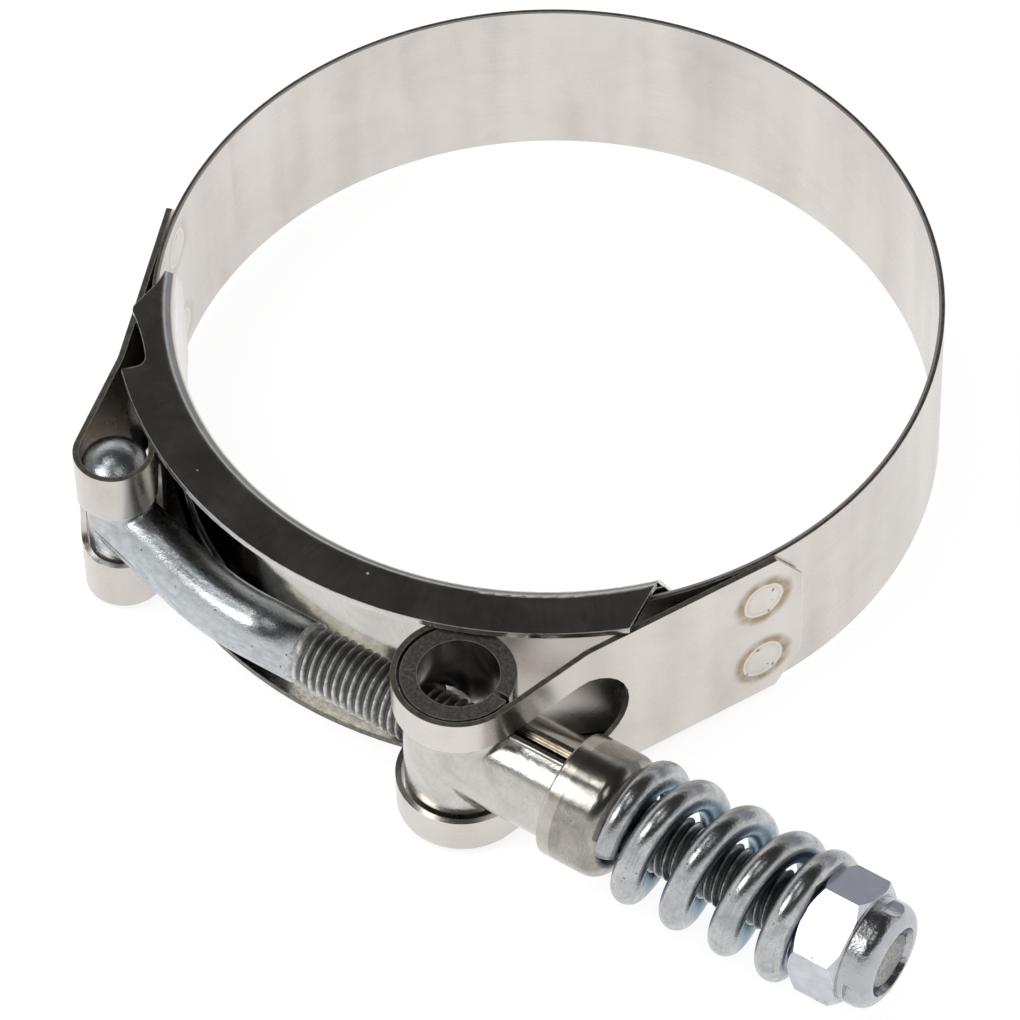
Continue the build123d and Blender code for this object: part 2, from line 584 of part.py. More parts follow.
def make_spring():
    """Left-hand compression spring of round wire, with its two ends closed and ground flat."""
    active_turns = (SPRING_LENGTH - 2 * TIP_INSET - 2 * CLOSED_TURNS * CLOSED_PITCH) / COIL_PITCH
    total = active_turns + 2 * CLOSED_TURNS
    steps = round(total * POINTS_PER_TURN)
    points = []
    for step in range(steps + 1):
        turns = total * step / steps
        place = polar(COIL_RADIUS, SPRING_START_ANGLE - 360 * turns, (-BOLT_OFFSET, 0))
        points.append((CUP_FACE_X + spring_station(turns, active_turns), *place))
    line = Spline(*points)
    wire = sweep(Plane(origin=line @ 0, z_dir=line % 0) * Circle(WIRE_RADIUS), path=line, is_frenet=True)
    return wire & rod_along_x(COIL_RADIUS + 2 * WIRE_RADIUS, CUP_FACE_X, NUT_FACE_X)


def nut_hexagon():
    """Hexagon whose corners are taken off by a cone at both faces."""
    corner_radius = NUT_ACROSS_FLATS / sqrt(3)
    flat_radius = NUT_ACROSS_FLATS / 2
    plane = Plane(origin=(NUT_FACE_X, -BOLT_OFFSET, 0), x_dir=(0, *polar(1, NUT_TURN)), z_dir=(1, 0, 0))
    prism = extrude(plane * RegularPolygon(corner_radius, HEXAGON_SIDES), amount=NUT_HEX_LENGTH)
    cones = turned(make_face(Polyline(
        (NUT_FACE_X, 0),
        (NUT_FACE_X, flat_radius),
        (NUT_FACE_X + NUT_CHAMFER_RISE, corner_radius),
        (NUT_HEX_END_X - NUT_CHAMFER_RISE, corner_radius),
        (NUT_HEX_END_X, flat_radius),
        (NUT_HEX_END_X, 0),
        close=True,
    )))
    return prism & cones


def nut_collar():
    """Round collar, squeezed at three places so that it grips the thread."""
    start = NUT_HEX_END_X - NUT_CHAMFER_RISE
    face = make_face(Polyline(
        (start, 0),
        (start, COLLAR_RADIUS),
        (NUT_END_X, COLLAR_RADIUS),
        (NUT_END_X, 0),
        close=True,
    ))
    edge = face.vertices().sort_by_distance((NUT_END_X, COLLAR_RADIUS))[0]
    collar = turned(fillet(edge, COLLAR_EDGE_RADIUS))
    for index in range(CRIMP_COUNT):
        angle = 360 * index / CRIMP_COUNT + NUT_TURN + 180 / HEXAGON_SIDES
        place = polar(COLLAR_RADIUS + CRIMP_RADIUS - CRIMP_DEPTH, angle, (-BOLT_OFFSET, 0))
        press = Plane(origin=(NUT_HEX_END_X + CRIMP_START, *place), z_dir=(1, 0, 0))
        collar -= extrude(press * Circle(CRIMP_RADIUS), amount=NUT_LENGTH)
    return collar


def make_lock_nut():
    """All-metal lock nut: hexagon and squeezed collar in one piece."""
    mouth_start = BOLT_END_X - BOLT_END_CHAMFER
    mouth = turned(make_face(Polyline(
        (mouth_start, 0),
        (mouth_start, NUT_BORE),
        (NUT_END_X, NUT_BORE + COLLAR_MOUTH),
        (NUT_END_X, 0),
        close=True,
    )))
    nut = nut_hexagon() + nut_collar() - mouth
    return nut - rod_along_x(NUT_BORE, NUT_FACE_X, NUT_END_X)


PARTS = {
    "band": make_band,
    "bridge": make_bridge,
    "t_bolt": make_t_bolt,
    "trunnion": make_trunnion,
    "spring_cup": make_spring_cup,
    "spring": make_spring,
    "lock_nut": make_lock_nut,
}

os.makedirs("parts", exist_ok=True)
for name, make in PARTS.items():
    solid = make()
    export_step(solid, f"parts/{name}.step")
    print(f"{name}: {solid.volume:.1f} mm3")
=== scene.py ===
# %% [markdown]
# # Spring-loaded T-bolt hose clamp
# The real object is a steel clamp that holds a rubber or silicone hose on a pipe.
# It arrives from the CAD step as a frame of seven solids, each in its own finish.
# Here each solid gets its finish, the rod gets its real thread, and the spring gets a wire
# that can close up when the nut travels.
# All of the making happens in millimetres and is scaled to metres at the end of each step.

# %% Load the frame
from math import acos, asin, atan2, cos, degrees, hypot, pi, radians, sin, tan, tau

import bmesh
import bpy
from mathutils import Matrix, Vector
from mathutils.geometry import delaunay_2d_cdt


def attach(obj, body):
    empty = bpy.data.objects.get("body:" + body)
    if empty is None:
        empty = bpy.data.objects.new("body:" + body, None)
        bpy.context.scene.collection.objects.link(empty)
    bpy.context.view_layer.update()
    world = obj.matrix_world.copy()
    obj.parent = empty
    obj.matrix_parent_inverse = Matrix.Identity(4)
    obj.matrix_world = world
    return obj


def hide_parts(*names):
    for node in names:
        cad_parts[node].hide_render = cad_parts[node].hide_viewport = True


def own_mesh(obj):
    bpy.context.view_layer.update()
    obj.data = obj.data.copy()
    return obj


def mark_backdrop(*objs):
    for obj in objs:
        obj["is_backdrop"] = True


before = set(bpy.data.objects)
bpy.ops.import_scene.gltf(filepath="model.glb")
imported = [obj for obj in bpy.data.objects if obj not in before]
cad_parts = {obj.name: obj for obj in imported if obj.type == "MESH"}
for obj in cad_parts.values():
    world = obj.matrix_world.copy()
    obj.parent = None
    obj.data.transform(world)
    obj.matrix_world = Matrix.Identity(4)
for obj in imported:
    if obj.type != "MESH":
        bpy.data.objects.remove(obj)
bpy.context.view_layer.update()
MM = 0.001

# %% [markdown]
# ## Camera
# The product was photographed with a long lens from above and from the nut's side.
# A long lens far away keeps the ring's near and far side almost the same size.
# The angles, the distance and the lens come from fitting the ring's two rims.

# %% Camera
IMAGE_PIXELS = 1020
SENSOR_MM = 36.0
LENS_PIXELS = 6627.79
CAMERA_AZIMUTH = 34.8
CAMERA_ELEVATION = 49.73
CAMERA_DISTANCE_MM = 651.505
CAMERA_YAW = 0.0064
CAMERA_PITCH = -0.0221
CAMERA_ROLL = 0.0244
RING_CENTRE_MM = Vector((0, -1.05, 0))


def direction(azimuth, elevation):
    """Unit vector; azimuth 0 points to -Y and grows towards +X, both in degrees."""
    turn, rise = radians(azimuth), radians(elevation)
    return Vector((sin(turn) * cos(rise), -cos(turn) * cos(rise), sin(rise)))


def make_camera():
    place = (RING_CENTRE_MM + CAMERA_DISTANCE_MM * direction(CAMERA_AZIMUTH, CAMERA_ELEVATION)) * MM
    turn = (
        Matrix.Rotation(radians(CAMERA_AZIMUTH), 4, "Z")
        @ Matrix.Rotation(radians(90 - CAMERA_ELEVATION), 4, "X")
        @ Matrix.Rotation(CAMERA_YAW, 4, "Y")
        @ Matrix.Rotation(CAMERA_PITCH, 4, "X")
        @ Matrix.Rotation(-CAMERA_ROLL, 4, "Z")
    )
    data = bpy.data.cameras.new("camera")
    data.sensor_width = SENSOR_MM
    data.lens = LENS_PIXELS * SENSOR_MM / IMAGE_PIXELS
    camera = bpy.data.objects.new("camera", data)
    camera.matrix_world = Matrix.Translation(place) @ turn
    bpy.context.collection.objects.link(camera)
    bpy.context.scene.camera = camera
    return camera


camera = make_camera()
print("camera at mm:", [round(x / MM, 1) for x in camera.location], "lens mm:", round(camera.data.lens, 1))

# %% [markdown]
# ## Sizes taken over from the CAD step
# The thread and the spring are made again here, so their sizes repeat those of the solids.

# %% Sizes of the bolt, the cup, the nut and the spring, in mm
BOLT_Y = -43.6
THREAD_START_X = 0.5
BOLT_END_X = 65.9
CUP_FACE_X = 37.6
NUT_FACE_X = 58.3
SPRING_LENGTH = NUT_FACE_X - CUP_FACE_X
BAND_HALF_WIDTH = 9.525
print("spring length in mm:", round(SPRING_LENGTH, 2))

# %% [markdown]
# ## Short ways to build meshes and node trees
# A mesh piece is a list of points in mm and a list of faces.
# A node tree is easier to read when each node is one short call, so a small class wraps one tree.

# %% Helper for mesh pieces


def mesh_piece(name, points, faces, uv=None):
    """Smooth-shaded object from points in mm. uv gives one pair per point."""
    mesh = bpy.data.meshes.new(name)
    mesh.from_pydata([Vector(p) * MM for p in points], [], faces)
    if uv:
        layer = mesh.uv_layers.new(name="along_and_around")
        for loop in mesh.loops:
            layer.data[loop.index].uv = uv[loop.vertex_index]
    mesh.polygons.foreach_set("use_smooth", [True] * len(mesh.polygons))
    mesh.update()
    piece = bpy.data.objects.new(name, mesh)
    bpy.context.collection.objects.link(piece)
    print(name, "points:", len(points), "faces:", len(faces))
    return piece


def tube_faces(stations, sides, closed_ends=True):
    """Quads between rings of points, and a face on each end."""
    faces = [
        (i * sides + j, i * sides + (j + 1) % sides, (i + 1) * sides + (j + 1) % sides, (i + 1) * sides + j)
        for i in range(stations - 1)
        for j in range(sides)
    ]
    if closed_ends:
        faces.append(tuple(reversed(range(sides))))
        faces.append(tuple(range((stations - 1) * sides, stations * sides)))
    return faces


# %% Helper for node trees


class Nodes:
    """One node tree, with a short call for each kind of node."""

    def __init__(self, tree):
        self.tree = tree

    def add(self, kind, **settings):
        node = self.tree.nodes.new(kind)
        for name, value in settings.items():
            setattr(node, name, value)
        return node

    def put(self, socket, value):
        if isinstance(value, bpy.types.NodeSocket):
            self.tree.links.new(value, socket)
        elif value is not None:
            socket.default_value = value

    def math(self, operation, *values, clamp=False):
        node = self.add("ShaderNodeMath", operation=operation, use_clamp=clamp)
        for socket, value in zip(node.inputs, values):
            self.put(socket, value)
        return node.outputs[0]

    def step(self, value, low, high, start=0.0, end=1.0):
        """Smooth change from start to end while value goes from low to high."""
        node = self.add("ShaderNodeMapRange", interpolation_type="SMOOTHSTEP")
        for name, number in zip(("Value", "From Min", "From Max", "To Min", "To Max"), (value, low, high, start, end)):
            self.put(node.inputs[name], number)
        return node.outputs["Result"]

    def band(self, value, middle, half_width, soft):
        """1 where value is within half_width of middle, with soft edges."""
        distance = self.math("ABSOLUTE", self.math("SUBTRACT", value, middle))
        return self.step(distance, half_width, half_width + soft, 1.0, 0.0)

    def separate(self, vector):
        node = self.add("ShaderNodeSeparateXYZ")
        self.put(node.inputs[0], vector)
        return node.outputs

    def combine(self, x, y, z):
        node = self.add("ShaderNodeCombineXYZ")
        for socket, value in zip(node.inputs, (x, y, z)):
            self.put(socket, value)
        return node.outputs[0]

    def stretch(self, vector, scale):
        """The vector with each of its parts multiplied."""
        node = self.add("ShaderNodeVectorMath", operation="MULTIPLY")
        self.put(node.inputs[0], vector)
        self.put(node.inputs[1], scale)
        return node.outputs[0]

    def noise(self, vector, scale=1.0, detail=3.0, roughness=0.5, distortion=0.0):
        node = self.add("ShaderNodeTexNoise")
        names = ("Vector", "Scale", "Detail", "Roughness", "Distortion")
        for name, value in zip(names, (vector, scale, detail, roughness, distortion)):
            self.put(node.inputs[name], value)
        return node.outputs["Fac"]

    def cells(self, vector, scale, feature="F1"):
        node = self.add("ShaderNodeTexVoronoi", feature=feature)
        self.put(node.inputs["Vector"], vector)
        self.put(node.inputs["Scale"], scale)
        return node.outputs["Distance"]

    def ramp(self, value, *stops):
        """Colours along a value from 0 to 1; each stop is a place and a colour."""
        node = self.add("ShaderNodeValToRGB")
        elements = node.color_ramp.elements
        while len(elements) < len(stops):
            elements.new(0.5)
        for element, (place, colour) in zip(elements, stops):
            element.position = place
            element.color = (*colour, 1)
        self.put(node.inputs[0], value)
        return node.outputs["Color"]

    def mix(self, share, first, second, blend="MIX"):
        node = self.add("ShaderNodeMix", data_type="RGBA", blend_type=blend)
        self.put(node.inputs["Factor"], share)
        for name, value in (("A", first), ("B", second)):
            socket = next(s for s in node.inputs if s.name == name and s.type == "RGBA")
            self.put(socket, (*value, 1) if isinstance(value, tuple) else value)
        return next(s for s in node.outputs if s.type == "RGBA")

    def bump(self, height, distance_mm, strength=1.0, normal=None):
        node = self.add("ShaderNodeBump")
        self.put(node.inputs["Height"], height)
        self.put(node.inputs["Distance"], distance_mm * MM)
        self.put(node.inputs["Strength"], strength)
        self.put(node.inputs["Normal"], normal)
        return node.outputs["Normal"]

    def group(self, tree, **values):
        """Place a shader group; spaces in its input names are written as underscores."""
        node = self.add("ShaderNodeGroup", node_tree=tree)
        for name, value in values.items():
            self.put(node.inputs[name.replace("_", " ")], value)
        return node.outputs


def new_group(name, inputs, outputs):
    """Empty shader group with named sockets. An input is its name and its default value."""
    tree = bpy.data.node_groups.new(name, "ShaderNodeTree")
    kinds = {float: "NodeSocketFloat", tuple: "NodeSocketVector"}
    for socket_name, default in inputs.items():
        socket = tree.interface.new_socket(socket_name, in_out="INPUT", socket_type=kinds[type(default)])
        socket.default_value = default
    for socket_name, kind in outputs.items():
        tree.interface.new_socket(socket_name, in_out="OUTPUT", socket_type=f"NodeSocket{kind}")
    nodes = Nodes(tree)
    return tree, nodes, nodes.add("NodeGroupInput").outputs, nodes.add("NodeGroupOutput").inputs


# %% [markdown]
# ## Where on the part a point lies
# Most marks on steel follow the part's own shape: grain runs round the band, rings run round the bolt.
# Three shader groups turn a point into lengths along such a shape, always in millimetres.

# %% Groups that measure a place in mm


def place_group():
    tree, nodes, _, out = new_group("place_mm", {}, {"Position": "Vector"})
    nodes.put(out["Position"], nodes.stretch(nodes.add("ShaderNodeTexCoord").outputs["Object"], (1000, 1000, 1000)))
    return tree


def round_axis(nodes, across, beside, centre):
    """Radius and angle, in radians, of a point about an axis."""
    side = nodes.math("SUBTRACT", across, centre[0])
    rise = nodes.math("SUBTRACT", beside, centre[1])
    radius = nodes.math("SQRT", nodes.math("ADD", nodes.math("MULTIPLY", side, side), nodes.math("MULTIPLY", rise, rise)))
    return radius, nodes.math("ARCTAN2", rise, side)


def ring_group():
    outputs = {"Along": "Float", "Radius": "Float", "Height": "Float", "Strip": "Vector"}
    tree, nodes, inputs, out = new_group("round_the_hose", {"Centre Y": 0.0, "Ring Radius": 38.0}, outputs)
    x, y, z = nodes.separate(nodes.group(PLACE)["Position"])
    radius, angle = round_axis(nodes, x, y, (0.0, inputs["Centre Y"]))
    along = nodes.math("MULTIPLY", angle, inputs["Ring Radius"])
    for name, value in (("Along", along), ("Radius", radius), ("Height", z)):
        nodes.put(out[name], value)
    nodes.put(out["Strip"], nodes.combine(along, radius, z))
    return tree


def bolt_group():
    outputs = {"Along": "Float", "Radius": "Float", "Angle": "Float", "Unrolled": "Vector"}
    tree, nodes, _, out = new_group("round_the_bolt", {}, outputs)
    x, y, z = nodes.separate(nodes.group(PLACE)["Position"])
    radius, angle = round_axis(nodes, y, z, (BOLT_Y, 0.0))
    for name, value in (("Along", x), ("Radius", radius), ("Angle", angle)):
        nodes.put(out[name], value)
    nodes.put(out["Unrolled"], nodes.combine(x, nodes.math("MULTIPLY", angle, 5.0), radius))
    return tree


PLACE = place_group()
RING = ring_group()
BOLT = bolt_group()
print("groups:", [g.name for g in bpy.data.node_groups])

# %% [markdown]
# ## What steel shows close up
# Handled steel has long fine grain, crossing scratches, soft cloudy patches and small pits.
# Each effect is one shader group, so that every material can use it with its own values.

# %% Groups for grain, scratches, clouds and pits


def grain_group():
    tree, nodes, inputs, out = new_group("fine_grain", {"Place": (0.0, 0.0, 0.0)}, {"Grain": "Float"})
    fine = nodes.noise(nodes.stretch(inputs["Place"], (0.12, 4.0, 9.0)), detail=4.0, roughness=0.7)
    nodes.put(out["Grain"], fine)
    return tree


def scratch_group():
    inputs = {"Place": (0.0, 0.0, 0.0), "Amount": 0.5}
    tree, nodes, inputs, out = new_group("hair_scratches", inputs, {"Scratches": "Float"})
    total = 0.0
    for turn, size in ((0.3, 0.55), (1.25, 0.7), (2.2, 0.45)):
        rotate = nodes.add("ShaderNodeVectorRotate", rotation_type="AXIS_ANGLE")
        nodes.put(rotate.inputs["Vector"], inputs["Place"])
        nodes.put(rotate.inputs["Angle"], turn)
        lines = nodes.noise(nodes.stretch(rotate.outputs[0], (size * 0.18, size * 7, size * 0.9)), detail=2.0)
        total = nodes.math("ADD", total, nodes.band(lines, 0.5, 0.0015, 0.006))
    where = nodes.step(nodes.noise(inputs["Place"], 0.35), 0.42, 0.6)
    nodes.put(out["Scratches"], nodes.math("MULTIPLY", nodes.math("MULTIPLY", total, where), inputs["Amount"], clamp=True))
    return tree


def cloud_group():
    inputs = {"Place": (0.0, 0.0, 0.0), "Size": 2.0, "Contrast": 0.5}
    tree, nodes, inputs, out = new_group("cloudy_patches", inputs, {"Clouds": "Float"})
    scale = nodes.math("DIVIDE", 1.0, inputs["Size"])
    wide = nodes.noise(inputs["Place"], scale, 5.0, 0.6, 0.6)
    spread = nodes.math("MULTIPLY", nodes.math("SUBTRACT", 0.5, wide), inputs["Contrast"])
    nodes.put(out["Clouds"], nodes.math("MULTIPLY_ADD", spread, 3.0, 0.5, clamp=True))
    return tree


def pit_group():
    inputs = {"Place": (0.0, 0.0, 0.0), "Spacing": 1.2, "Size": 0.12}
    tree, nodes, inputs, out = new_group("small_pits", inputs, {"Pits": "Float"})
    distance = nodes.cells(inputs["Place"], nodes.math("DIVIDE", 1.0, inputs["Spacing"]))
    size = nodes.math("DIVIDE", inputs["Size"], inputs["Spacing"])
    pit = nodes.step(nodes.math("DIVIDE", distance, size), 0.6, 1.0, 1.0, 0.0)
    some = nodes.step(nodes.noise(inputs["Place"], 0.45), 0.5, 0.58)
    nodes.put(out["Pits"], nodes.math("MULTIPLY", pit, some))
    return tree


def grit_group():
    inputs = {"Place": (0.0, 0.0, 0.0), "Size": 0.25}
    tree, nodes, inputs, out = new_group("fine_grit", inputs, {"Grit": "Float"})
    scale = nodes.math("DIVIDE", 1.0, inputs["Size"])
    nodes.put(out["Grit"], nodes.noise(inputs["Place"], scale, 3.0, 0.6))
    return tree


def edge_group():
    """A rounded normal differs from the true one only close to an edge."""
    # The materials lighten their colour along this mask: partly rubbed wear, partly a painted highlight where a rounded
    # edge would catch the light.
    tree, nodes, inputs, out = new_group("rubbed_and_highlit_edges", {"Place": (0.0, 0.0, 0.0)}, {"Edge": "Float"})
    rounded = nodes.add("ShaderNodeBevel", samples=6)
    rounded.inputs["Radius"].default_value = 0.13 * MM
    dot = nodes.add("ShaderNodeVectorMath", operation="DOT_PRODUCT")
    nodes.put(dot.inputs[0], rounded.outputs[0])
    nodes.put(dot.inputs[1], nodes.add("ShaderNodeNewGeometry").outputs["Normal"])
    near = nodes.step(dot.outputs["Value"], 0.995, 0.93)
    broken = nodes.step(nodes.noise(inputs["Place"], 0.9, 3.0), 0.32, 0.5, 0.35, 1.0)
    nodes.put(out["Edge"], nodes.math("MULTIPLY", near, broken))
    return tree


GRAIN = grain_group()
GRIT = grit_group()
EDGES = edge_group()
SCRATCHES = scratch_group()
CLOUDS = cloud_group()
PITS = pit_group()
print("groups:", [g.name for g in bpy.data.node_groups])

# %% [markdown]
# ## Materials
# All of the parts are bare or zinc-plated steel, so each material is a metal.
# What changes from one to the next is the tint, how sharp the reflections are, and the marks.

# %% Helper that starts a steel material


def steel(name, roughness):
    """New metal material: its nodes, and its Principled shader."""
    material = bpy.data.materials.new(name)
    material.use_nodes = True
    shader = material.node_tree.nodes["Principled BSDF"]
    shader.inputs["Metallic"].default_value = 1.0
    shader.inputs["Roughness"].default_value = roughness
    return material, Nodes(material.node_tree), shader.inputs


# %% [markdown]
# ### Band
# The strip is rolled stainless with a satin face and slit edges.
# The slit edges are darker, with a bright burr along the inner side.
# Four spot welds on each end left round dents with golden heat tint round them.

# %% Band steel

WELDS = {"trunnion": (-25.0, 4.5, 1), "t_head": (-18.2, 6.0, -1)}
WELD_RING_RADIUS = 38.9


def weld_centres():
    for angle, height, side in WELDS.values():
        for z in (height, -height):
            turn = radians(angle)
            yield (side * WELD_RING_RADIUS * cos(turn), WELD_RING_RADIUS * sin(turn) - 1.05, z)


def weld_group():
    outputs = {"Nugget": "Float", "Rim": "Float", "Halo": "Float"}
    tree, nodes, inputs, out = new_group("spot_weld", {"Place": (0.0, 0.0, 0.0), "Centre": (0.0, 0.0, 0.0)}, outputs)
    gap = nodes.add("ShaderNodeVectorMath", operation="DISTANCE")
    nodes.put(gap.inputs[0], inputs["Place"])
    nodes.put(gap.inputs[1], inputs["Centre"])
    wobble = nodes.math("MULTIPLY", nodes.math("SUBTRACT", nodes.noise(inputs["Place"], 0.6), 0.5), 0.5)
    distance = nodes.math("ADD", gap.outputs["Value"], wobble)
    nodes.put(out["Nugget"], nodes.step(distance, 2.1, 2.3, 1.0, 0.0))
    nodes.put(out["Rim"], nodes.band(distance, 2.1, 0.05, 0.15))
    nodes.put(out["Halo"], nodes.band(distance, 2.45, 0.15, 1.0))
    return tree


WELD = weld_group()


def band_steel():
    material, nodes, shader = steel("band_steel", 0.3)
    place = nodes.group(PLACE)["Position"]
    ring = nodes.group(RING, Centre_Y=-1.05, Ring_Radius=38.3)
    grain = nodes.group(GRAIN, Place=ring["Strip"])["Grain"]
    soft = nodes.noise(nodes.stretch(ring["Strip"], (0.16, 0.0, 0.02)), detail=2.0)
    clouds = nodes.group(CLOUDS, Place=place, Size=6.0, Contrast=0.6)["Clouds"]
    tone = nodes.math("ADD", nodes.math("MULTIPLY", soft, 0.75), nodes.math("MULTIPLY", clouds, 0.25))
    colour = nodes.ramp(tone, (0.25, (0.55, 0.51, 0.48)), (0.55, (0.68, 0.64, 0.60)), (0.8, (0.74, 0.71, 0.69)))
    colour = nodes.mix(nodes.step(grain, 0.35, 0.65, 0.12, 0.0), colour, (0.40, 0.38, 0.36))
    nugget, rim, halo = 0.0, 0.0, 0.0
    for centre in weld_centres():
        weld = nodes.group(WELD, Place=place, Centre=centre)
        nugget = nodes.math("MAXIMUM", nugget, weld["Nugget"])
        rim = nodes.math("MAXIMUM", rim, weld["Rim"])
        halo = nodes.math("MAXIMUM", halo, weld["Halo"])
    patches = nodes.step(nodes.noise(place, 0.7, 3.0), 0.3, 0.6, 0.55, 0.95)
    tint = nodes.math("MULTIPLY", nodes.math("MULTIPLY", halo, patches), nodes.step(nugget, 0.0, 1.0, 0.85, 0.3))
    tint = nodes.math("MULTIPLY", tint, nodes.step(ring["Radius"], 38.2, 38.4, 0.3, 1.0))
    colour = nodes.mix(tint, colour, (0.26, 0.17, 0.07))
    colour = nodes.mix(nodes.math("MULTIPLY", rim, 0.5), colour, (0.8, 0.78, 0.72))
    dark = nodes.math("MULTIPLY", nugget, nodes.step(nodes.noise(place, 1.3, 3.0), 0.65, 0.71))
    colour = nodes.mix(nodes.math("MULTIPLY", dark, 0.8), colour, (0.10, 0.08, 0.07))
    height = nodes.math("ABSOLUTE", ring["Height"])
    rim_face = nodes.step(height, BAND_HALF_WIDTH - 0.02, BAND_HALF_WIDTH - 0.01)
    rim_colour = nodes.ramp(nodes.noise(place, 1.4, 4.0, 0.7), (0.3, (0.11, 0.095, 0.075)), (0.7, (0.27, 0.24, 0.20)))
    colour = nodes.mix(rim_face, colour, rim_colour)
    inner = nodes.band(ring["Radius"], 38.08, 0.14, 0.1)
    colour = nodes.mix(nodes.math("MULTIPLY", nodes.math("MULTIPLY", inner, rim_face), 0.9), colour, (0.72, 0.70, 0.68))
    # Painted highlight and rubbed wear: the band's edges are lightened along the edge mask.
    edge = nodes.group(EDGES, Place=place)["Edge"]
    colour = nodes.mix(nodes.math("MULTIPLY", edge, 0.7), colour, (0.86, 0.82, 0.74))
    nodes.put(shader["Base Color"], colour)
    rough = nodes.math("MAXIMUM", nodes.step(clouds, 0.0, 1.0, 0.24, 0.32), nodes.math("MULTIPLY", rim_face, 0.5))
    nodes.put(shader["Roughness"], rough)
    nodes.put(shader["Normal"], nodes.bump(grain, 0.004, 0.6))
    return material


# %% [markdown]
# ### Bridge
# The bridge is pressed from polished sheet, so its flanges are almost a mirror.
# Handling left hair scratches, and the cut rim is bright, partly from rubbed wear and partly as a painted highlight.

# %% Bridge steel


def bridge_steel():
    material, nodes, shader = steel("bridge_steel", 0.16)
    place = nodes.group(PLACE)["Position"]
    ring = nodes.group(RING, Centre_Y=0.0, Ring_Radius=40.0)
    scratches = nodes.group(SCRATCHES, Place=place, Amount=0.5)["Scratches"]
    clouds = nodes.group(CLOUDS, Place=place, Size=5.0, Contrast=0.5)["Clouds"]
    grit = nodes.group(GRIT, Place=place, Size=0.3)["Grit"]
    pressed = nodes.noise(nodes.stretch(ring["Strip"], (1.4, 0.12, 0.12)), detail=2.0)
    flange = nodes.step(nodes.math("ABSOLUTE", ring["Height"]), 9.9, 10.3)
    colour = nodes.ramp(clouds, (0.2, (0.50, 0.49, 0.46)), (0.8, (0.62, 0.61, 0.58)))
    lines = nodes.math("MULTIPLY", nodes.math("MULTIPLY", nodes.band(pressed, 0.5, 0.01, 0.03), flange), 0.14)
    colour = nodes.mix(lines, colour, (0.20, 0.20, 0.18))
    specks = nodes.group(PITS, Place=place, Spacing=2.6, Size=0.16)["Pits"]
    colour = nodes.mix(nodes.math("MAXIMUM", nodes.math("MULTIPLY", scratches, 0.6), specks), colour, (0.9, 0.9, 0.88))
    # Painted highlight and rubbed wear: the cut rim is lightened along the edge mask.
    edge = nodes.group(EDGES, Place=place)["Edge"]
    colour = nodes.mix(nodes.math("MULTIPLY", edge, 0.9), colour, (0.95, 0.94, 0.92))
    # Painted shade: the lower flange is painted dark and patchy, for the shade it lies in.
    lower_flange = nodes.step(ring["Height"], -9.4, -9.6)
    lower_flange_shade = nodes.ramp(nodes.noise(place, 2.2, 4.0, 0.7), (0.35, (0.05, 0.048, 0.042)), (0.75, (0.22, 0.21, 0.18)))
    colour = nodes.mix(nodes.math("MULTIPLY", lower_flange, 0.9), colour, lower_flange_shade)
    nodes.put(shader["Base Color"], colour)
    bright = nodes.math("MAXIMUM", edge, specks)
    polish = nodes.math("MULTIPLY", nodes.step(clouds, 0.0, 1.0, 0.14, 0.22), nodes.step(flange, 0.0, 1.0, 0.4, 1.0))
    nodes.put(shader["Roughness"], nodes.math("ADD", polish, nodes.math("MULTIPLY", bright, 0.5)))
    waves = nodes.noise(place, 0.35, 1.0)
    height = nodes.math("ADD", waves, nodes.math("MULTIPLY", grit, 0.12))
    nodes.put(shader["Normal"], nodes.bump(nodes.math("SUBTRACT", height, nodes.math("MULTIPLY", scratches, 0.05)), 0.02))
    return material


# %% [markdown]
# ### Bolt
# The forged bolt is zinc plated. Its face is cloudy, blue-grey and a little uneven.
# The thread's flanks are dull; its roots are painted dark as painted shade, and its crests are painted light as a
# painted highlight.

# %% Bolt steel and thread steel


def bolt_steel():
    material, nodes, shader = steel("bolt_steel", 0.3)
    place = nodes.group(PLACE)["Position"]
    clouds = nodes.group(CLOUDS, Place=place, Size=1.5, Contrast=0.6)["Clouds"]
    streaks = nodes.noise(nodes.stretch(place, (0.5, 2.4, 2.4)), detail=5.0, roughness=0.7)
    grit = nodes.group(GRIT, Place=place, Size=0.22)["Grit"]
    pits = nodes.group(PITS, Place=place, Spacing=0.8, Size=0.13)["Pits"]
    tone = nodes.math("ADD", nodes.math("MULTIPLY", clouds, 0.35), nodes.math("MULTIPLY", streaks, 0.65))
    colour = nodes.ramp(tone, (0.3, (0.38, 0.40, 0.42)), (0.5, (0.47, 0.50, 0.52)), (0.72, (0.60, 0.62, 0.64)))
    colour = nodes.mix(nodes.math("MULTIPLY", pits, 0.8), colour, (0.05, 0.05, 0.06))
    # Painted highlight and rubbed wear: the bolt's edges are lightened along the edge mask.
    edge = nodes.group(EDGES, Place=place)["Edge"]
    colour = nodes.mix(nodes.math("MULTIPLY", edge, 0.5), colour, (0.75, 0.76, 0.76))
    nodes.put(shader["Base Color"], colour)
    nodes.put(shader["Roughness"], nodes.step(tone, 0.3, 0.7, 0.32, 0.2))
    height = nodes.math("ADD", nodes.math("MULTIPLY", grit, 0.5), nodes.math("MULTIPLY", streaks, 0.5))
    nodes.put(shader["Normal"], nodes.bump(nodes.math("SUBTRACT", height, pits), 0.04))
    return material


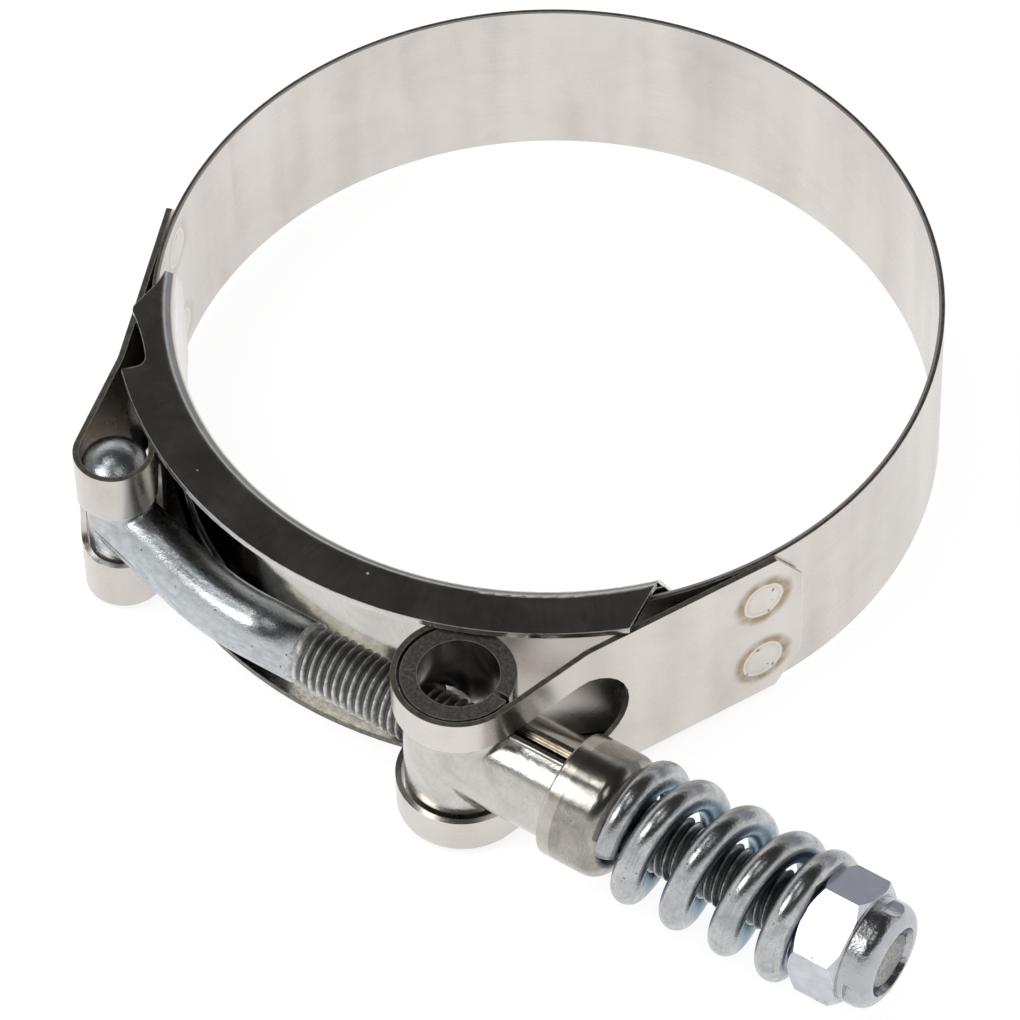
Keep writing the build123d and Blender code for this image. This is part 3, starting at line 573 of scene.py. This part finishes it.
def thread_steel():
    material, nodes, shader = steel("thread_steel", 0.3)
    bolt = nodes.group(BOLT)
    place = nodes.group(PLACE)["Position"]
    clouds = nodes.group(CLOUDS, Place=place, Size=0.8, Contrast=0.9)["Clouds"]
    grit = nodes.group(GRIT, Place=place, Size=0.2)["Grit"]
    # Painted shade in the roots and a painted highlight on the crests: the colour follows the thread's radius.
    depth = nodes.step(bolt["Radius"], 2.62, 3.15)
    colour = nodes.ramp(depth, (0.0, (0.16, 0.16, 0.155)), (0.5, (0.40, 0.40, 0.385)), (1.0, (0.66, 0.66, 0.64)))
    colour = nodes.mix(nodes.step(clouds, 0.3, 0.8, 0.5, 0.0), colour, (0.14, 0.14, 0.14))
    end = nodes.step(bolt["Along"], BOLT_END_X - 0.02, BOLT_END_X - 0.01)
    end_colour = nodes.ramp(grit, (0.3, (0.16, 0.16, 0.15)), (0.7, (0.50, 0.50, 0.48)))
    colour = nodes.mix(end, colour, end_colour)
    nodes.put(shader["Base Color"], colour)
    nodes.put(shader["Roughness"], nodes.step(depth, 0.0, 1.0, 0.5, 0.28))
    nodes.put(shader["Normal"], nodes.bump(grit, 0.08))
    return material


# %% [markdown]
# ### Trunnion and cup
# The trunnion is folded from thick polished sheet. Its cut ends are dull and mottled.
# The cup is drawn from thinner sheet and has a bright, slightly wavy face.

# %% Trunnion steel and cup steel

BARREL_TOP = 9.4


def trunnion_steel():
    material, nodes, shader = steel("trunnion_steel", 0.16)
    place = nodes.group(PLACE)["Position"]
    x, y, z = nodes.separate(place)
    clouds = nodes.group(CLOUDS, Place=place, Size=2.5, Contrast=0.5)["Clouds"]
    grit = nodes.group(GRIT, Place=place, Size=0.28)["Grit"]
    scratches = nodes.group(SCRATCHES, Place=place, Amount=0.5)["Scratches"]
    colour = nodes.ramp(clouds, (0.1, (0.46, 0.44, 0.41)), (0.8, (0.60, 0.58, 0.55)))
    colour = nodes.mix(nodes.step(grit, 0.5, 0.34, 0.0, 0.1), colour, (0.22, 0.21, 0.19))
    colour = nodes.mix(nodes.math("MULTIPLY", scratches, 0.5), colour, (0.80, 0.78, 0.74))
    across = nodes.math("ABSOLUTE", nodes.math("SUBTRACT", y, BOLT_Y))
    low = nodes.step(nodes.math("ABSOLUTE", z), 5.05, 4.9)
    groove = nodes.math("MULTIPLY", nodes.step(across, 0.62, 0.56), nodes.math("MULTIPLY", nodes.step(x, 24.6, 25.0), low))
    colour = nodes.mix(nodes.math("MULTIPLY", groove, 0.85), colour, (0.26, 0.21, 0.12))
    end = nodes.step(nodes.math("ABSOLUTE", z), BARREL_TOP - 0.03, BARREL_TOP - 0.01)
    end_colour = nodes.ramp(
        nodes.noise(place, 3.0, 4.0, 0.7),
        (0.3, (0.10, 0.095, 0.085)), (0.55, (0.19, 0.18, 0.16)), (0.75, (0.36, 0.34, 0.30)),
    )
    colour = nodes.mix(end, colour, end_colour)
    # Painted highlight and rubbed wear: the trunnion's edges are lightened along the edge mask.
    edge = nodes.group(EDGES, Place=place)["Edge"]
    colour = nodes.mix(nodes.math("MULTIPLY", edge, 0.7), colour, (0.85, 0.83, 0.78))
    nodes.put(shader["Base Color"], colour)
    rough = nodes.math("MAXIMUM", nodes.step(clouds, 0.0, 1.0, 0.25, 0.15), nodes.math("MULTIPLY", end, 0.5))
    nodes.put(shader["Roughness"], rough)
    height = nodes.math("ADD", nodes.noise(place, 0.5, 2.0), nodes.math("MULTIPLY", grit, nodes.step(end, 0.0, 1.0, 0.35, 1.2)))
    nodes.put(shader["Normal"], nodes.bump(height, 0.035))
    return material


def cup_steel():
    material, nodes, shader = steel("cup_steel", 0.18)
    place = nodes.group(PLACE)["Position"]
    bolt = nodes.group(BOLT)
    clouds = nodes.group(CLOUDS, Place=place, Size=2.5, Contrast=0.5)["Clouds"]
    grit = nodes.group(GRIT, Place=place, Size=0.25)["Grit"]
    scratches = nodes.group(SCRATCHES, Place=place, Amount=0.6)["Scratches"]
    colour = nodes.ramp(clouds, (0.1, (0.24, 0.225, 0.20)), (0.8, (0.42, 0.40, 0.36)))
    colour = nodes.mix(nodes.step(grit, 0.5, 0.34, 0.0, 0.15), colour, (0.14, 0.13, 0.11))
    # Painted highlight: a lighter band round the cup's mouth.
    mouth_highlight = nodes.band(bolt["Along"], 31.7, 0.7, 0.15)
    colour = nodes.mix(nodes.math("MULTIPLY", mouth_highlight, 0.45), colour, (0.66, 0.63, 0.56))
    colour = nodes.mix(nodes.math("MULTIPLY", scratches, 0.5), colour, (0.80, 0.78, 0.74))
    # Painted highlight and rubbed wear: the cup's edges are lightened along the edge mask.
    edge = nodes.group(EDGES, Place=place)["Edge"]
    colour = nodes.mix(nodes.math("MULTIPLY", edge, 0.6), colour, (0.82, 0.80, 0.75))
    nodes.put(shader["Base Color"], colour)
    nodes.put(shader["Roughness"], nodes.step(clouds, 0.0, 1.0, 0.26, 0.17))
    height = nodes.math("ADD", nodes.noise(place, 0.5, 2.0), nodes.math("MULTIPLY", grit, 0.15))
    nodes.put(shader["Normal"], nodes.bump(height, 0.04))
    return material


# %% [markdown]
# ### Spring and nut
# Both are zinc plated. The wire has long drawing marks and rubbed patches, and its inner side towards the bolt gets a
# blue-tinted painted shade.
# The nut's facets are flat and clean, its collar is dented where the press squeezed it.

# %% Spring steel and nut steel


def spring_steel():
    material, nodes, shader = steel("spring_steel", 0.22)
    place = nodes.group(PLACE)["Position"]
    wire = nodes.add("ShaderNodeUVMap", uv_map="along_and_around").outputs[0]
    drawn = nodes.noise(nodes.stretch(wire, (0.35, 4.0, 1.0)), detail=3.0, roughness=0.6)
    grit = nodes.group(GRIT, Place=place, Size=0.25)["Grit"]
    clouds = nodes.group(CLOUDS, Place=place, Size=1.8, Contrast=0.5)["Clouds"]
    pits = nodes.group(PITS, Place=place, Spacing=0.9, Size=0.13)["Pits"]
    colour = nodes.ramp(clouds, (0.1, (0.32, 0.34, 0.36)), (0.5, (0.45, 0.46, 0.465)), (0.9, (0.60, 0.60, 0.59)))
    colour = nodes.mix(nodes.step(drawn, 0.3, 0.55, 0.3, 0.0), colour, (0.20, 0.23, 0.27))
    colour = nodes.mix(nodes.step(grit, 0.5, 0.34, 0.0, 0.2), colour, (0.14, 0.15, 0.16))
    # Painted shade, tinted blue, on the wire's inner side towards the bolt.
    inside = nodes.step(nodes.group(BOLT)["Radius"], 6.3, 4.9, 0.0, 0.75)
    colour = nodes.mix(inside, colour, (0.13, 0.24, 0.33))
    colour = nodes.mix(nodes.math("MULTIPLY", pits, 0.7), colour, (0.06, 0.06, 0.07))
    nodes.put(shader["Base Color"], colour)
    nodes.put(shader["Roughness"], nodes.step(clouds, 0.0, 1.0, 0.3, 0.18))
    height = nodes.math("ADD", nodes.math("MULTIPLY", drawn, 0.25), nodes.math("MULTIPLY", grit, 0.6))
    nodes.put(shader["Normal"], nodes.bump(nodes.math("SUBTRACT", height, nodes.math("MULTIPLY", pits, 0.5)), 0.04))
    return material


def nut_steel():
    material, nodes, shader = steel("nut_steel", 0.28)
    place = nodes.group(PLACE)["Position"]
    bolt = nodes.group(BOLT)
    clouds = nodes.group(CLOUDS, Place=place, Size=2.0, Contrast=0.5)["Clouds"]
    grit = nodes.group(GRIT, Place=place, Size=0.3)["Grit"]
    pits = nodes.group(PITS, Place=place, Spacing=1.0, Size=0.15)["Pits"]
    colour = nodes.ramp(clouds, (0.1, (0.44, 0.45, 0.49)), (0.8, (0.60, 0.61, 0.66)))
    collar = nodes.step(bolt["Along"], 63.0, 63.4)
    colour = nodes.mix(nodes.math("MULTIPLY", collar, 0.5), colour, (0.36, 0.36, 0.37))
    colour = nodes.mix(nodes.math("MULTIPLY", pits, 0.6), colour, (0.08, 0.08, 0.09))
    # Painted highlight and rubbed wear: the nut's edges are lightened along the edge mask.
    edge = nodes.group(EDGES, Place=place)["Edge"]
    colour = nodes.mix(nodes.math("MULTIPLY", edge, 0.6), colour, (0.85, 0.86, 0.88))
    nodes.put(shader["Base Color"], colour)
    nodes.put(shader["Roughness"], nodes.step(clouds, 0.0, 1.0, 0.26, 0.17))
    dents = nodes.math("ADD", nodes.math("MULTIPLY", nodes.noise(place, 0.5, 2.0), 2.5), nodes.math("MULTIPLY", grit, 0.8))
    height = nodes.math("MULTIPLY", dents, nodes.step(collar, 0.0, 1.0, 0.03, 1.0))
    nodes.put(shader["Normal"], nodes.bump(nodes.math("SUBTRACT", height, nodes.math("MULTIPLY", pits, 0.1)), 0.05))
    return material


# %% Put the materials on the solids

MATERIALS = {
    "band": band_steel(),
    "bridge": bridge_steel(),
    "t_bolt": bolt_steel(),
    "trunnion": trunnion_steel(),
    "spring_cup": cup_steel(),
    "spring": spring_steel(),
    "lock_nut": nut_steel(),
}
THREAD_STEEL = thread_steel()


def dress(piece, *materials):
    piece.data.materials.clear()
    for material in materials:
        piece.data.materials.append(material)


for name, material in MATERIALS.items():
    dress(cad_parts[name], material)
    print(name, "<-", material.name)

# %% [markdown]
# ## Band
# The real band starts as a flat blank: one long strip with two slots and four cut corners.
# It is wrapped into the ring, and each end is folded back round its cross piece and welded.
# The same order works here: the blank is cut into triangles in the flat, then every point is
# carried along the strip's middle line, and last the sheet gets its thickness.

# %% Middle line of the strip, seen from above

RING_RADIUS = 38.3
RING_Y = -1.05
STRIP_THICKNESS = 0.58
LAYER_STEP = 0.65
LEG_BEND_RADIUS = 6.0


def polar(radius, angle, centre=(0.0, 0.0)):
    return Vector((centre[0] + radius * cos(radians(angle)), centre[1] + radius * sin(radians(angle))))


def line_piece(start, end):
    length = (end - start).length
    return length, lambda s: start.lerp(end, s / length)


def arc_piece(centre, radius, start, sweep):
    length = radius * abs(radians(sweep))
    return length, lambda s: polar(radius, start + sweep * s / length, centre)


def folded_end(loop, loop_radius, leg_angle, leg_length, overrun):
    """Pieces from the leg's free end to the ring, drawn for the +X side, and where they meet the ring."""
    touch = polar(RING_RADIUS + LAYER_STEP, -leg_angle)
    down = 270 - leg_angle
    bend = touch + polar(leg_length, down)
    to_loop = loop - bend
    heading = degrees(atan2(to_loop.y, to_loop.x)) % 360 + degrees(asin(loop_radius / to_loop.length))
    turn = heading - down
    run = LEG_BEND_RADIUS * abs(tan(radians(turn / 2)))
    bend_start = bend + polar(run, down + 180)
    side = 90 if turn > 0 else -90
    bend_centre = bend_start + polar(LEG_BEND_RADIUS, down + side)
    loop_start = heading + 90
    meet = degrees(atan2(loop.y, loop.x)) + degrees(acos((RING_RADIUS + loop_radius) / loop.length))
    wrap_angle = (meet + 180 - loop_start) % 360 - 360
    pieces = [
        line_piece(touch + polar(overrun, down + 180), bend_start),
        arc_piece(bend_centre, LEG_BEND_RADIUS, down - side, turn),
        line_piece(bend + polar(run, heading), polar(loop_radius, loop_start, loop)),
        arc_piece(loop, loop_radius, loop_start, wrap_angle),
        line_piece(polar(loop_radius, meet + 180, loop), polar(RING_RADIUS, meet)),
    ]
    return pieces, meet


def place_on(pieces, s):
    """Point at a distance s along a row of pieces."""
    for length, point in pieces[:-1]:
        if s <= length:
            return point(s)
        s -= length
    return pieces[-1][1](s)


def total(pieces):
    return sum(length for length, _ in pieces)


TRUNNION_LOOP = Vector((18.5, -43.6 - RING_Y))
T_LOOP = Vector((24.2, -39.45 - RING_Y))
trunnion_end, trunnion_meet = folded_end(TRUNNION_LOOP, 6.1, 24.7, 19.6, 4.2)
t_end, t_meet = folded_end(T_LOOP, 3.64, 22.0, 15.1, 7.4)
ring_piece = arc_piece((0, 0), RING_RADIUS, trunnion_meet, 180 - t_meet - trunnion_meet)
NEAR = total(trunnion_end)
FAR = NEAR + ring_piece[0]
STRIP_LENGTH = FAR + total(t_end)
print("strip length in mm:", round(STRIP_LENGTH, 1))


def wrap(s, z):
    """Point of the strip's middle layer at a distance s from the trunnion leg's end."""
    if s < FAR:
        x, y = place_on(trunnion_end + [ring_piece], s)
    else:
        x, y = place_on(t_end, STRIP_LENGTH - s)
        x = -x
    return (x, y + RING_Y, z)


# %% Blank: outline, slots and a grid of points

CORNER_LENGTH = 2.9
CORNER_HEIGHT = 4.0
SLOT_ROUND_STEPS = 14
COLUMNS = (-7.6, -5.7, -3.8, -1.9, 0.0, 1.9, 3.8, 5.7, 7.6)
CLEAR = 0.3


def rows():
    """Distances along the strip, close together where it bends sharply."""
    result, start = [], 0.0
    mirrored_end = [(length, None) for length, _ in reversed(t_end)]
    for length, _ in trunnion_end + [ring_piece] + mirrored_end:
        sharp = length < 40 and length not in (trunnion_end[0][0], t_end[0][0])
        count = max(round(length / (0.35 if sharp else 0.9)), 1)
        result += [start + length * i / count for i in range(count)]
        start += length
    return result + [start]


def slot_outline(start, end, half):
    """Long hole with round ends; start and end are its tips."""
    points = []
    for centre, first in ((end - half, -90), (start + half, 90)):
        for i in range(SLOT_ROUND_STEPS + 1):
            turn = radians(first + 180 * i / SLOT_ROUND_STEPS)
            points.append((centre + half * cos(turn), half * sin(turn)))
    low = [(s, -half) for s in rows() if start + half + 0.1 < s < end - half - 0.1]
    high = [(s, half) for s, _ in reversed(low)]
    middle = SLOT_ROUND_STEPS + 1
    return points[:middle] + high + points[middle:] + low


def blank_outline():
    w, c = BAND_HALF_WIDTH, BAND_HALF_WIDTH - CORNER_HEIGHT
    inside = [s for s in rows() if CORNER_LENGTH + 0.1 < s < STRIP_LENGTH - CORNER_LENGTH - 0.1]
    low = [(0, -c), (CORNER_LENGTH, -w)] + [(s, -w) for s in inside]
    low += [(STRIP_LENGTH - CORNER_LENGTH, -w), (STRIP_LENGTH, -c)]
    return low + [(s, -z) for s, z in reversed(low)]


trunnion_before_loop = sum(length for length, _ in trunnion_end[:3])
t_before_loop = sum(length for length, _ in t_end[:3])
SLOTS = [
    (19.4, trunnion_before_loop + trunnion_end[3][0] + 2.5, 5.6),
    (STRIP_LENGTH - t_before_loop - t_end[3][0] - 5.0, STRIP_LENGTH - t_before_loop - 0.7, 3.7),
]
print("slots in mm:", [[round(x, 1) for x in slot] for slot in SLOTS])

# %% Cut the blank, wrap it and thicken it


def in_slot(s, z, grow=0.0):
    return any(
        hypot(s - min(max(s, start + half), end - half), z) < half + grow
        for start, end, half in SLOTS
    )


def make_band():
    loops = [blank_outline()] + [slot_outline(*slot) for slot in SLOTS]
    points, edges = [], []
    for loop in loops:
        first = len(points)
        points += [Vector(p) for p in loop]
        edges += [(first + i, first + (i + 1) % len(loop)) for i in range(len(loop))]
    points += [
        Vector((s, z)) for s in rows() for z in COLUMNS
        if CORNER_LENGTH + CLEAR < s < STRIP_LENGTH - CORNER_LENGTH - CLEAR and not in_slot(s, z, CLEAR)
    ]
    flat, _, triangles = delaunay_2d_cdt(points, edges, [], 1, 1e-5)[:3]
    kept = [t for t in triangles if not in_slot(*(sum((flat[i] for i in t), Vector((0, 0))) / 3), -0.01)]
    blank = mesh_piece("band_strip", [wrap(*p) for p in flat], kept, [tuple(p) for p in flat])
    bm = bmesh.new()
    bm.from_mesh(blank.data)
    bmesh.ops.delete(bm, geom=[v for v in bm.verts if not v.link_faces], context="VERTS")
    bmesh.ops.recalc_face_normals(bm, faces=bm.faces)
    bm.to_mesh(blank.data)
    bm.free()
    thick = blank.modifiers.new("thickness", "SOLIDIFY")
    thick.thickness = STRIP_THICKNESS * MM
    thick.offset = 0
    thick.use_even_offset = True
    bpy.context.view_layer.update()
    mesh = bpy.data.meshes.new_from_object(blank.evaluated_get(bpy.context.evaluated_depsgraph_get()))
    blank.modifiers.clear()
    blank.data = mesh
    mesh.set_sharp_from_angle(angle=radians(40))
    print("band_strip triangles in the flat:", len(kept))
    return blank


band = make_band()
dress(band, MATERIALS["band"])
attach(band, "band")
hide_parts("band")

# %% [markdown]
# ## The bolt's thread
# A real quarter-inch bolt has 28 turns of thread to the inch, rolled into the rod.
# The solid has a plain rod there, because a thread is heavy to pack and to collide.
# A grid wrapped round the rod, whose radius follows the thread's profile, gives the real grooves.

# %% Thread

BOLT_RADIUS = 3.175
THREAD_PITCH = 25.4 / 28
THREAD_DEPTH = 0.55
CREST_SHARE = 0.14
ROOT_SHARE = 0.22
THREAD_SIDES = 48
ROWS_PER_PITCH = 12
RUNOUT = 1.6
END_CHAMFER = 0.5


def thread_radius(x, turn):
    """Radius of the thread at x and at a share of a turn round the bolt."""
    phase = x / THREAD_PITCH - turn
    from_crest = abs(phase - round(phase)) * 2
    slope = (from_crest - CREST_SHARE) / (1 - CREST_SHARE - ROOT_SHARE)
    depth = THREAD_DEPTH * min(max(slope, 0), 1)
    depth *= min(max((x - THREAD_START_X) / RUNOUT, 0), 1)
    tip = BOLT_RADIUS - END_CHAMFER + max(BOLT_END_X - x, 0)
    return min(BOLT_RADIUS - depth, tip)


def make_thread():
    length = BOLT_END_X - THREAD_START_X
    rows = round(length / THREAD_PITCH * ROWS_PER_PITCH) + 1
    points = []
    for i in range(rows):
        x = THREAD_START_X + length * i / (rows - 1)
        for j in range(THREAD_SIDES):
            radius = thread_radius(x, j / THREAD_SIDES)
            angle = tau * j / THREAD_SIDES
            points.append((x, BOLT_Y + radius * cos(angle), radius * sin(angle)))
    return mesh_piece("bolt_thread", points, tube_faces(rows, THREAD_SIDES))


thread = make_thread()
dress(thread, THREAD_STEEL)

# %% [markdown]
# ## The bolt's head and shank
# The forged head and the bent shank keep the solid's shape.
# A copy of the solid's mesh is cut off where the thread starts, and only the head's side is kept.

# %% Head and shank


def make_forging():
    mesh = bmesh.new()
    mesh.from_mesh(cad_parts["t_bolt"].data)
    bmesh.ops.remove_doubles(mesh, verts=mesh.verts, dist=1e-7)
    cut = (THREAD_START_X + 0.02) * MM
    bmesh.ops.bisect_plane(
        mesh, geom=mesh.verts[:] + mesh.edges[:] + mesh.faces[:], plane_co=(cut, 0, 0), plane_no=(1, 0, 0), clear_outer=True
    )
    data = bpy.data.meshes.new("bolt_forging")
    mesh.to_mesh(data)
    mesh.free()
    piece = bpy.data.objects.new("bolt_forging", data)
    bpy.context.collection.objects.link(piece)
    data.polygons.foreach_set("use_smooth", [True] * len(data.polygons))
    data.set_sharp_from_angle(angle=radians(35))
    print("bolt_forging faces:", len(data.polygons))
    return piece


forging = make_forging()
dress(forging, MATERIALS["t_bolt"])
for piece in (thread, forging):
    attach(piece, "t_bolt")
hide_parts("t_bolt")
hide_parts("t_bolt")

# %% [markdown]
# ## Spring
# The real spring is wound from round wire, its end turns lie close, and both ends are ground flat.
# It closes up when the nut travels, so the wire is a mesh of its own that can be squeezed along the bolt.

# %% Spring wire

WIRE_RADIUS = 1.5
COIL_RADIUS = 5.45
COIL_PITCH = 5.35
CLOSED_PITCH = 2.3
CLOSED_TURNS = 0.75
TIP_INSET = 0.4
SPRING_START_ANGLE = 158.0
RINGS_PER_TURN = 48
WIRE_SIDES = 24
ACTIVE_TURNS = (SPRING_LENGTH - 2 * TIP_INSET - 2 * CLOSED_TURNS * CLOSED_PITCH) / COIL_PITCH
ALL_TURNS = ACTIVE_TURNS + 2 * CLOSED_TURNS


def wire_middle(turns):
    closed = min(turns, CLOSED_TURNS) + max(turns - CLOSED_TURNS - ACTIVE_TURNS, 0)
    active = min(max(turns - CLOSED_TURNS, 0), ACTIVE_TURNS)
    angle = radians(SPRING_START_ANGLE) - tau * turns
    x = CUP_FACE_X + TIP_INSET + closed * CLOSED_PITCH + active * COIL_PITCH
    return Vector((x, BOLT_Y + COIL_RADIUS * cos(angle), COIL_RADIUS * sin(angle)))


def make_spring():
    rings = round(ALL_TURNS * RINGS_PER_TURN) + 1
    points, uv = [], []
    for i in range(rings):
        turns = ALL_TURNS * i / (rings - 1)
        middle = wire_middle(turns)
        ahead = (wire_middle(turns + 0.01) - wire_middle(turns - 0.01)).normalized()
        outward = Vector((0, middle.y - BOLT_Y, middle.z)).normalized()
        side = ahead.cross(outward)
        for j in range(WIRE_SIDES):
            angle = tau * j / WIRE_SIDES
            point = middle + WIRE_RADIUS * (cos(angle) * outward + sin(angle) * side)
            point.x = min(max(point.x, CUP_FACE_X), NUT_FACE_X)
            points.append(point)
            uv.append((turns * tau * COIL_RADIUS, WIRE_RADIUS * abs(angle - pi)))
    return mesh_piece("spring_wire", points, tube_faces(rings, WIRE_SIDES), uv)


spring = make_spring()
dress(spring, MATERIALS["spring"])
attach(spring, "trunnion")
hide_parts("spring")
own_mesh(spring)

# %% [markdown]
# ## Stage
# The floor is pale and keeps the clamp's soft shadow.
# Polished steel shows what stands round it, so the studio has a key lamp, a side lamp and an overhead lamp,
# and a dark ceiling and a grey wall behind the clamp that only reflections can see.

# %% Floor

FLOOR_Z = -10.42
FLOOR_SIZE = 3.0


def make_floor():
    half = FLOOR_SIZE / 2
    mesh = bpy.data.meshes.new("floor")
    mesh.from_pydata([(-half, -half, 0), (half, -half, 0), (half, half, 0), (-half, half, 0)], [], [(0, 1, 2, 3)])
    floor_piece = bpy.data.objects.new("floor", mesh)
    floor_piece.location.z = FLOOR_Z * MM
    bpy.context.collection.objects.link(floor_piece)
    material = bpy.data.materials.new("floor_paper")
    material.use_nodes = True
    nodes = Nodes(material.node_tree)
    material.node_tree.nodes.clear()
    paper = nodes.add("ShaderNodeBsdfDiffuse")
    paper.inputs["Color"].default_value = (0.3, 0.3, 0.3, 1)
    plain = nodes.add("ShaderNodeBsdfDiffuse")
    plain.inputs["Color"].default_value = (0.8, 0.8, 0.8, 1)
    glow = nodes.add("ShaderNodeEmission")
    glow.inputs["Strength"].default_value = 0.86
    both = nodes.add("ShaderNodeAddShader")
    nodes.put(both.inputs[0], paper.outputs[0])
    nodes.put(both.inputs[1], glow.outputs[0])
    path = nodes.add("ShaderNodeLightPath")
    seen = nodes.math("MAXIMUM", path.outputs["Is Camera Ray"], path.outputs["Is Glossy Ray"])
    choose = nodes.add("ShaderNodeMixShader")
    nodes.put(choose.inputs[0], seen)
    nodes.put(choose.inputs[1], plain.outputs[0])
    nodes.put(choose.inputs[2], both.outputs[0])
    nodes.put(nodes.add("ShaderNodeOutputMaterial").inputs[0], choose.outputs[0])
    dress(floor_piece, material)
    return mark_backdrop(floor_piece)


floor_piece = make_floor()
print("floor at mm:", FLOOR_Z)

# %% World and lamps

WORLD_LIGHT = 0.5


def make_world():
    world = bpy.data.worlds.new("studio")
    bpy.context.scene.world = world
    world.use_nodes = True
    nodes = Nodes(world.node_tree)
    world.node_tree.nodes.clear()
    path = nodes.add("ShaderNodeLightPath").outputs
    seen = nodes.math("MAXIMUM", path["Is Camera Ray"], nodes.math("MAXIMUM", path["Is Glossy Ray"], path["Is Transmission Ray"]))
    back = nodes.add("ShaderNodeBackground")
    nodes.put(back.inputs["Color"], (1, 1, 1, 1))
    nodes.put(back.inputs["Strength"], nodes.step(seen, 0.0, 1.0, WORLD_LIGHT, 1.0))
    nodes.put(nodes.add("ShaderNodeOutputWorld").inputs[0], back.outputs[0])


def aim(thing, towards):
    thing.rotation_euler = (towards - thing.location).to_track_quat("-Z", "Y").to_euler()


def area_lamp(name, azimuth, elevation, distance, width, height, radiance):
    """Soft box that shines at the clamp. Its face is as bright as radiance, where 1 is white."""
    data = bpy.data.lights.new(name, "AREA")
    data.shape = "RECTANGLE"
    data.size, data.size_y = width, height
    data.energy = radiance * pi * width * height
    lamp = bpy.data.objects.new(name, data)
    lamp.location = distance * direction(azimuth, elevation)
    aim(lamp, Vector((0, 0, 0)))
    bpy.context.collection.objects.link(lamp)
    print(name, "energy:", round(data.energy, 2))


def make_ceiling():
    """Dark studio ceiling that only reflections see. It fades to white at its border."""
    mesh = bpy.data.meshes.new("ceiling")
    half = CEILING_SIZE / 2
    mesh.from_pydata([(-half, -half, 0), (half, -half, 0), (half, half, 0), (-half, half, 0)], [], [(3, 2, 1, 0)])
    ceiling = bpy.data.objects.new("ceiling", mesh)
    ceiling.location.z = CEILING_HEIGHT
    bpy.context.collection.objects.link(ceiling)
    material = bpy.data.materials.new("ceiling_paint")
    material.use_nodes = True
    material.node_tree.nodes.clear()
    nodes = Nodes(material.node_tree)
    x, y, _ = nodes.separate(nodes.add("ShaderNodeTexCoord").outputs["Object"])
    radius, _ = round_axis(nodes, x, y, (0.0, 0.0))
    glow = nodes.add("ShaderNodeEmission")
    nodes.put(glow.inputs["Color"], nodes.ramp(nodes.step(radius, 0.55 * half, 0.95 * half), (0.0, CEILING_COLOUR), (1.0, (1, 1, 1))))
    nodes.put(nodes.add("ShaderNodeOutputMaterial").inputs[0], glow.outputs[0])
    dress(ceiling, material)
    ceiling.visible_camera = ceiling.visible_diffuse = ceiling.visible_shadow = False


def make_back_wall():
    """Grey wall behind the clamp, low down, that only reflections see."""
    mesh = bpy.data.meshes.new("back_wall")
    mesh.from_pydata([(-1.2, 0, -0.05), (1.2, 0, -0.05), (1.2, 0, 0.7), (-1.2, 0, 0.7)], [], [(0, 1, 2, 3)])
    wall = bpy.data.objects.new("back_wall", mesh)
    wall.location.y = 1.4
    bpy.context.collection.objects.link(wall)
    material = bpy.data.materials.new("back_wall_paint")
    material.use_nodes = True
    material.node_tree.nodes.clear()
    nodes = Nodes(material.node_tree)
    glow = nodes.add("ShaderNodeEmission")
    glow.inputs["Color"].default_value = (0.34, 0.36, 0.40, 1)
    nodes.put(nodes.add("ShaderNodeOutputMaterial").inputs[0], glow.outputs[0])
    dress(wall, material)
    wall.visible_camera = wall.visible_diffuse = wall.visible_shadow = False


CEILING_HEIGHT = 1.2
CEILING_SIZE = 5.0
CEILING_COLOUR = (0.042, 0.041, 0.038)
make_world()
make_ceiling()
make_back_wall()
area_lamp("key_lamp", -37.4, 52.7, 1.0, 0.4, 0.4, 4.6)
area_lamp("side_lamp", -92, 68, 1.0, 0.16, 0.2, 4.5)
area_lamp("overhead_lamp", 60, 76, 1.0, 0.16, 0.3, 2.2)
bpy.context.scene.view_settings.view_transform = "Standard"
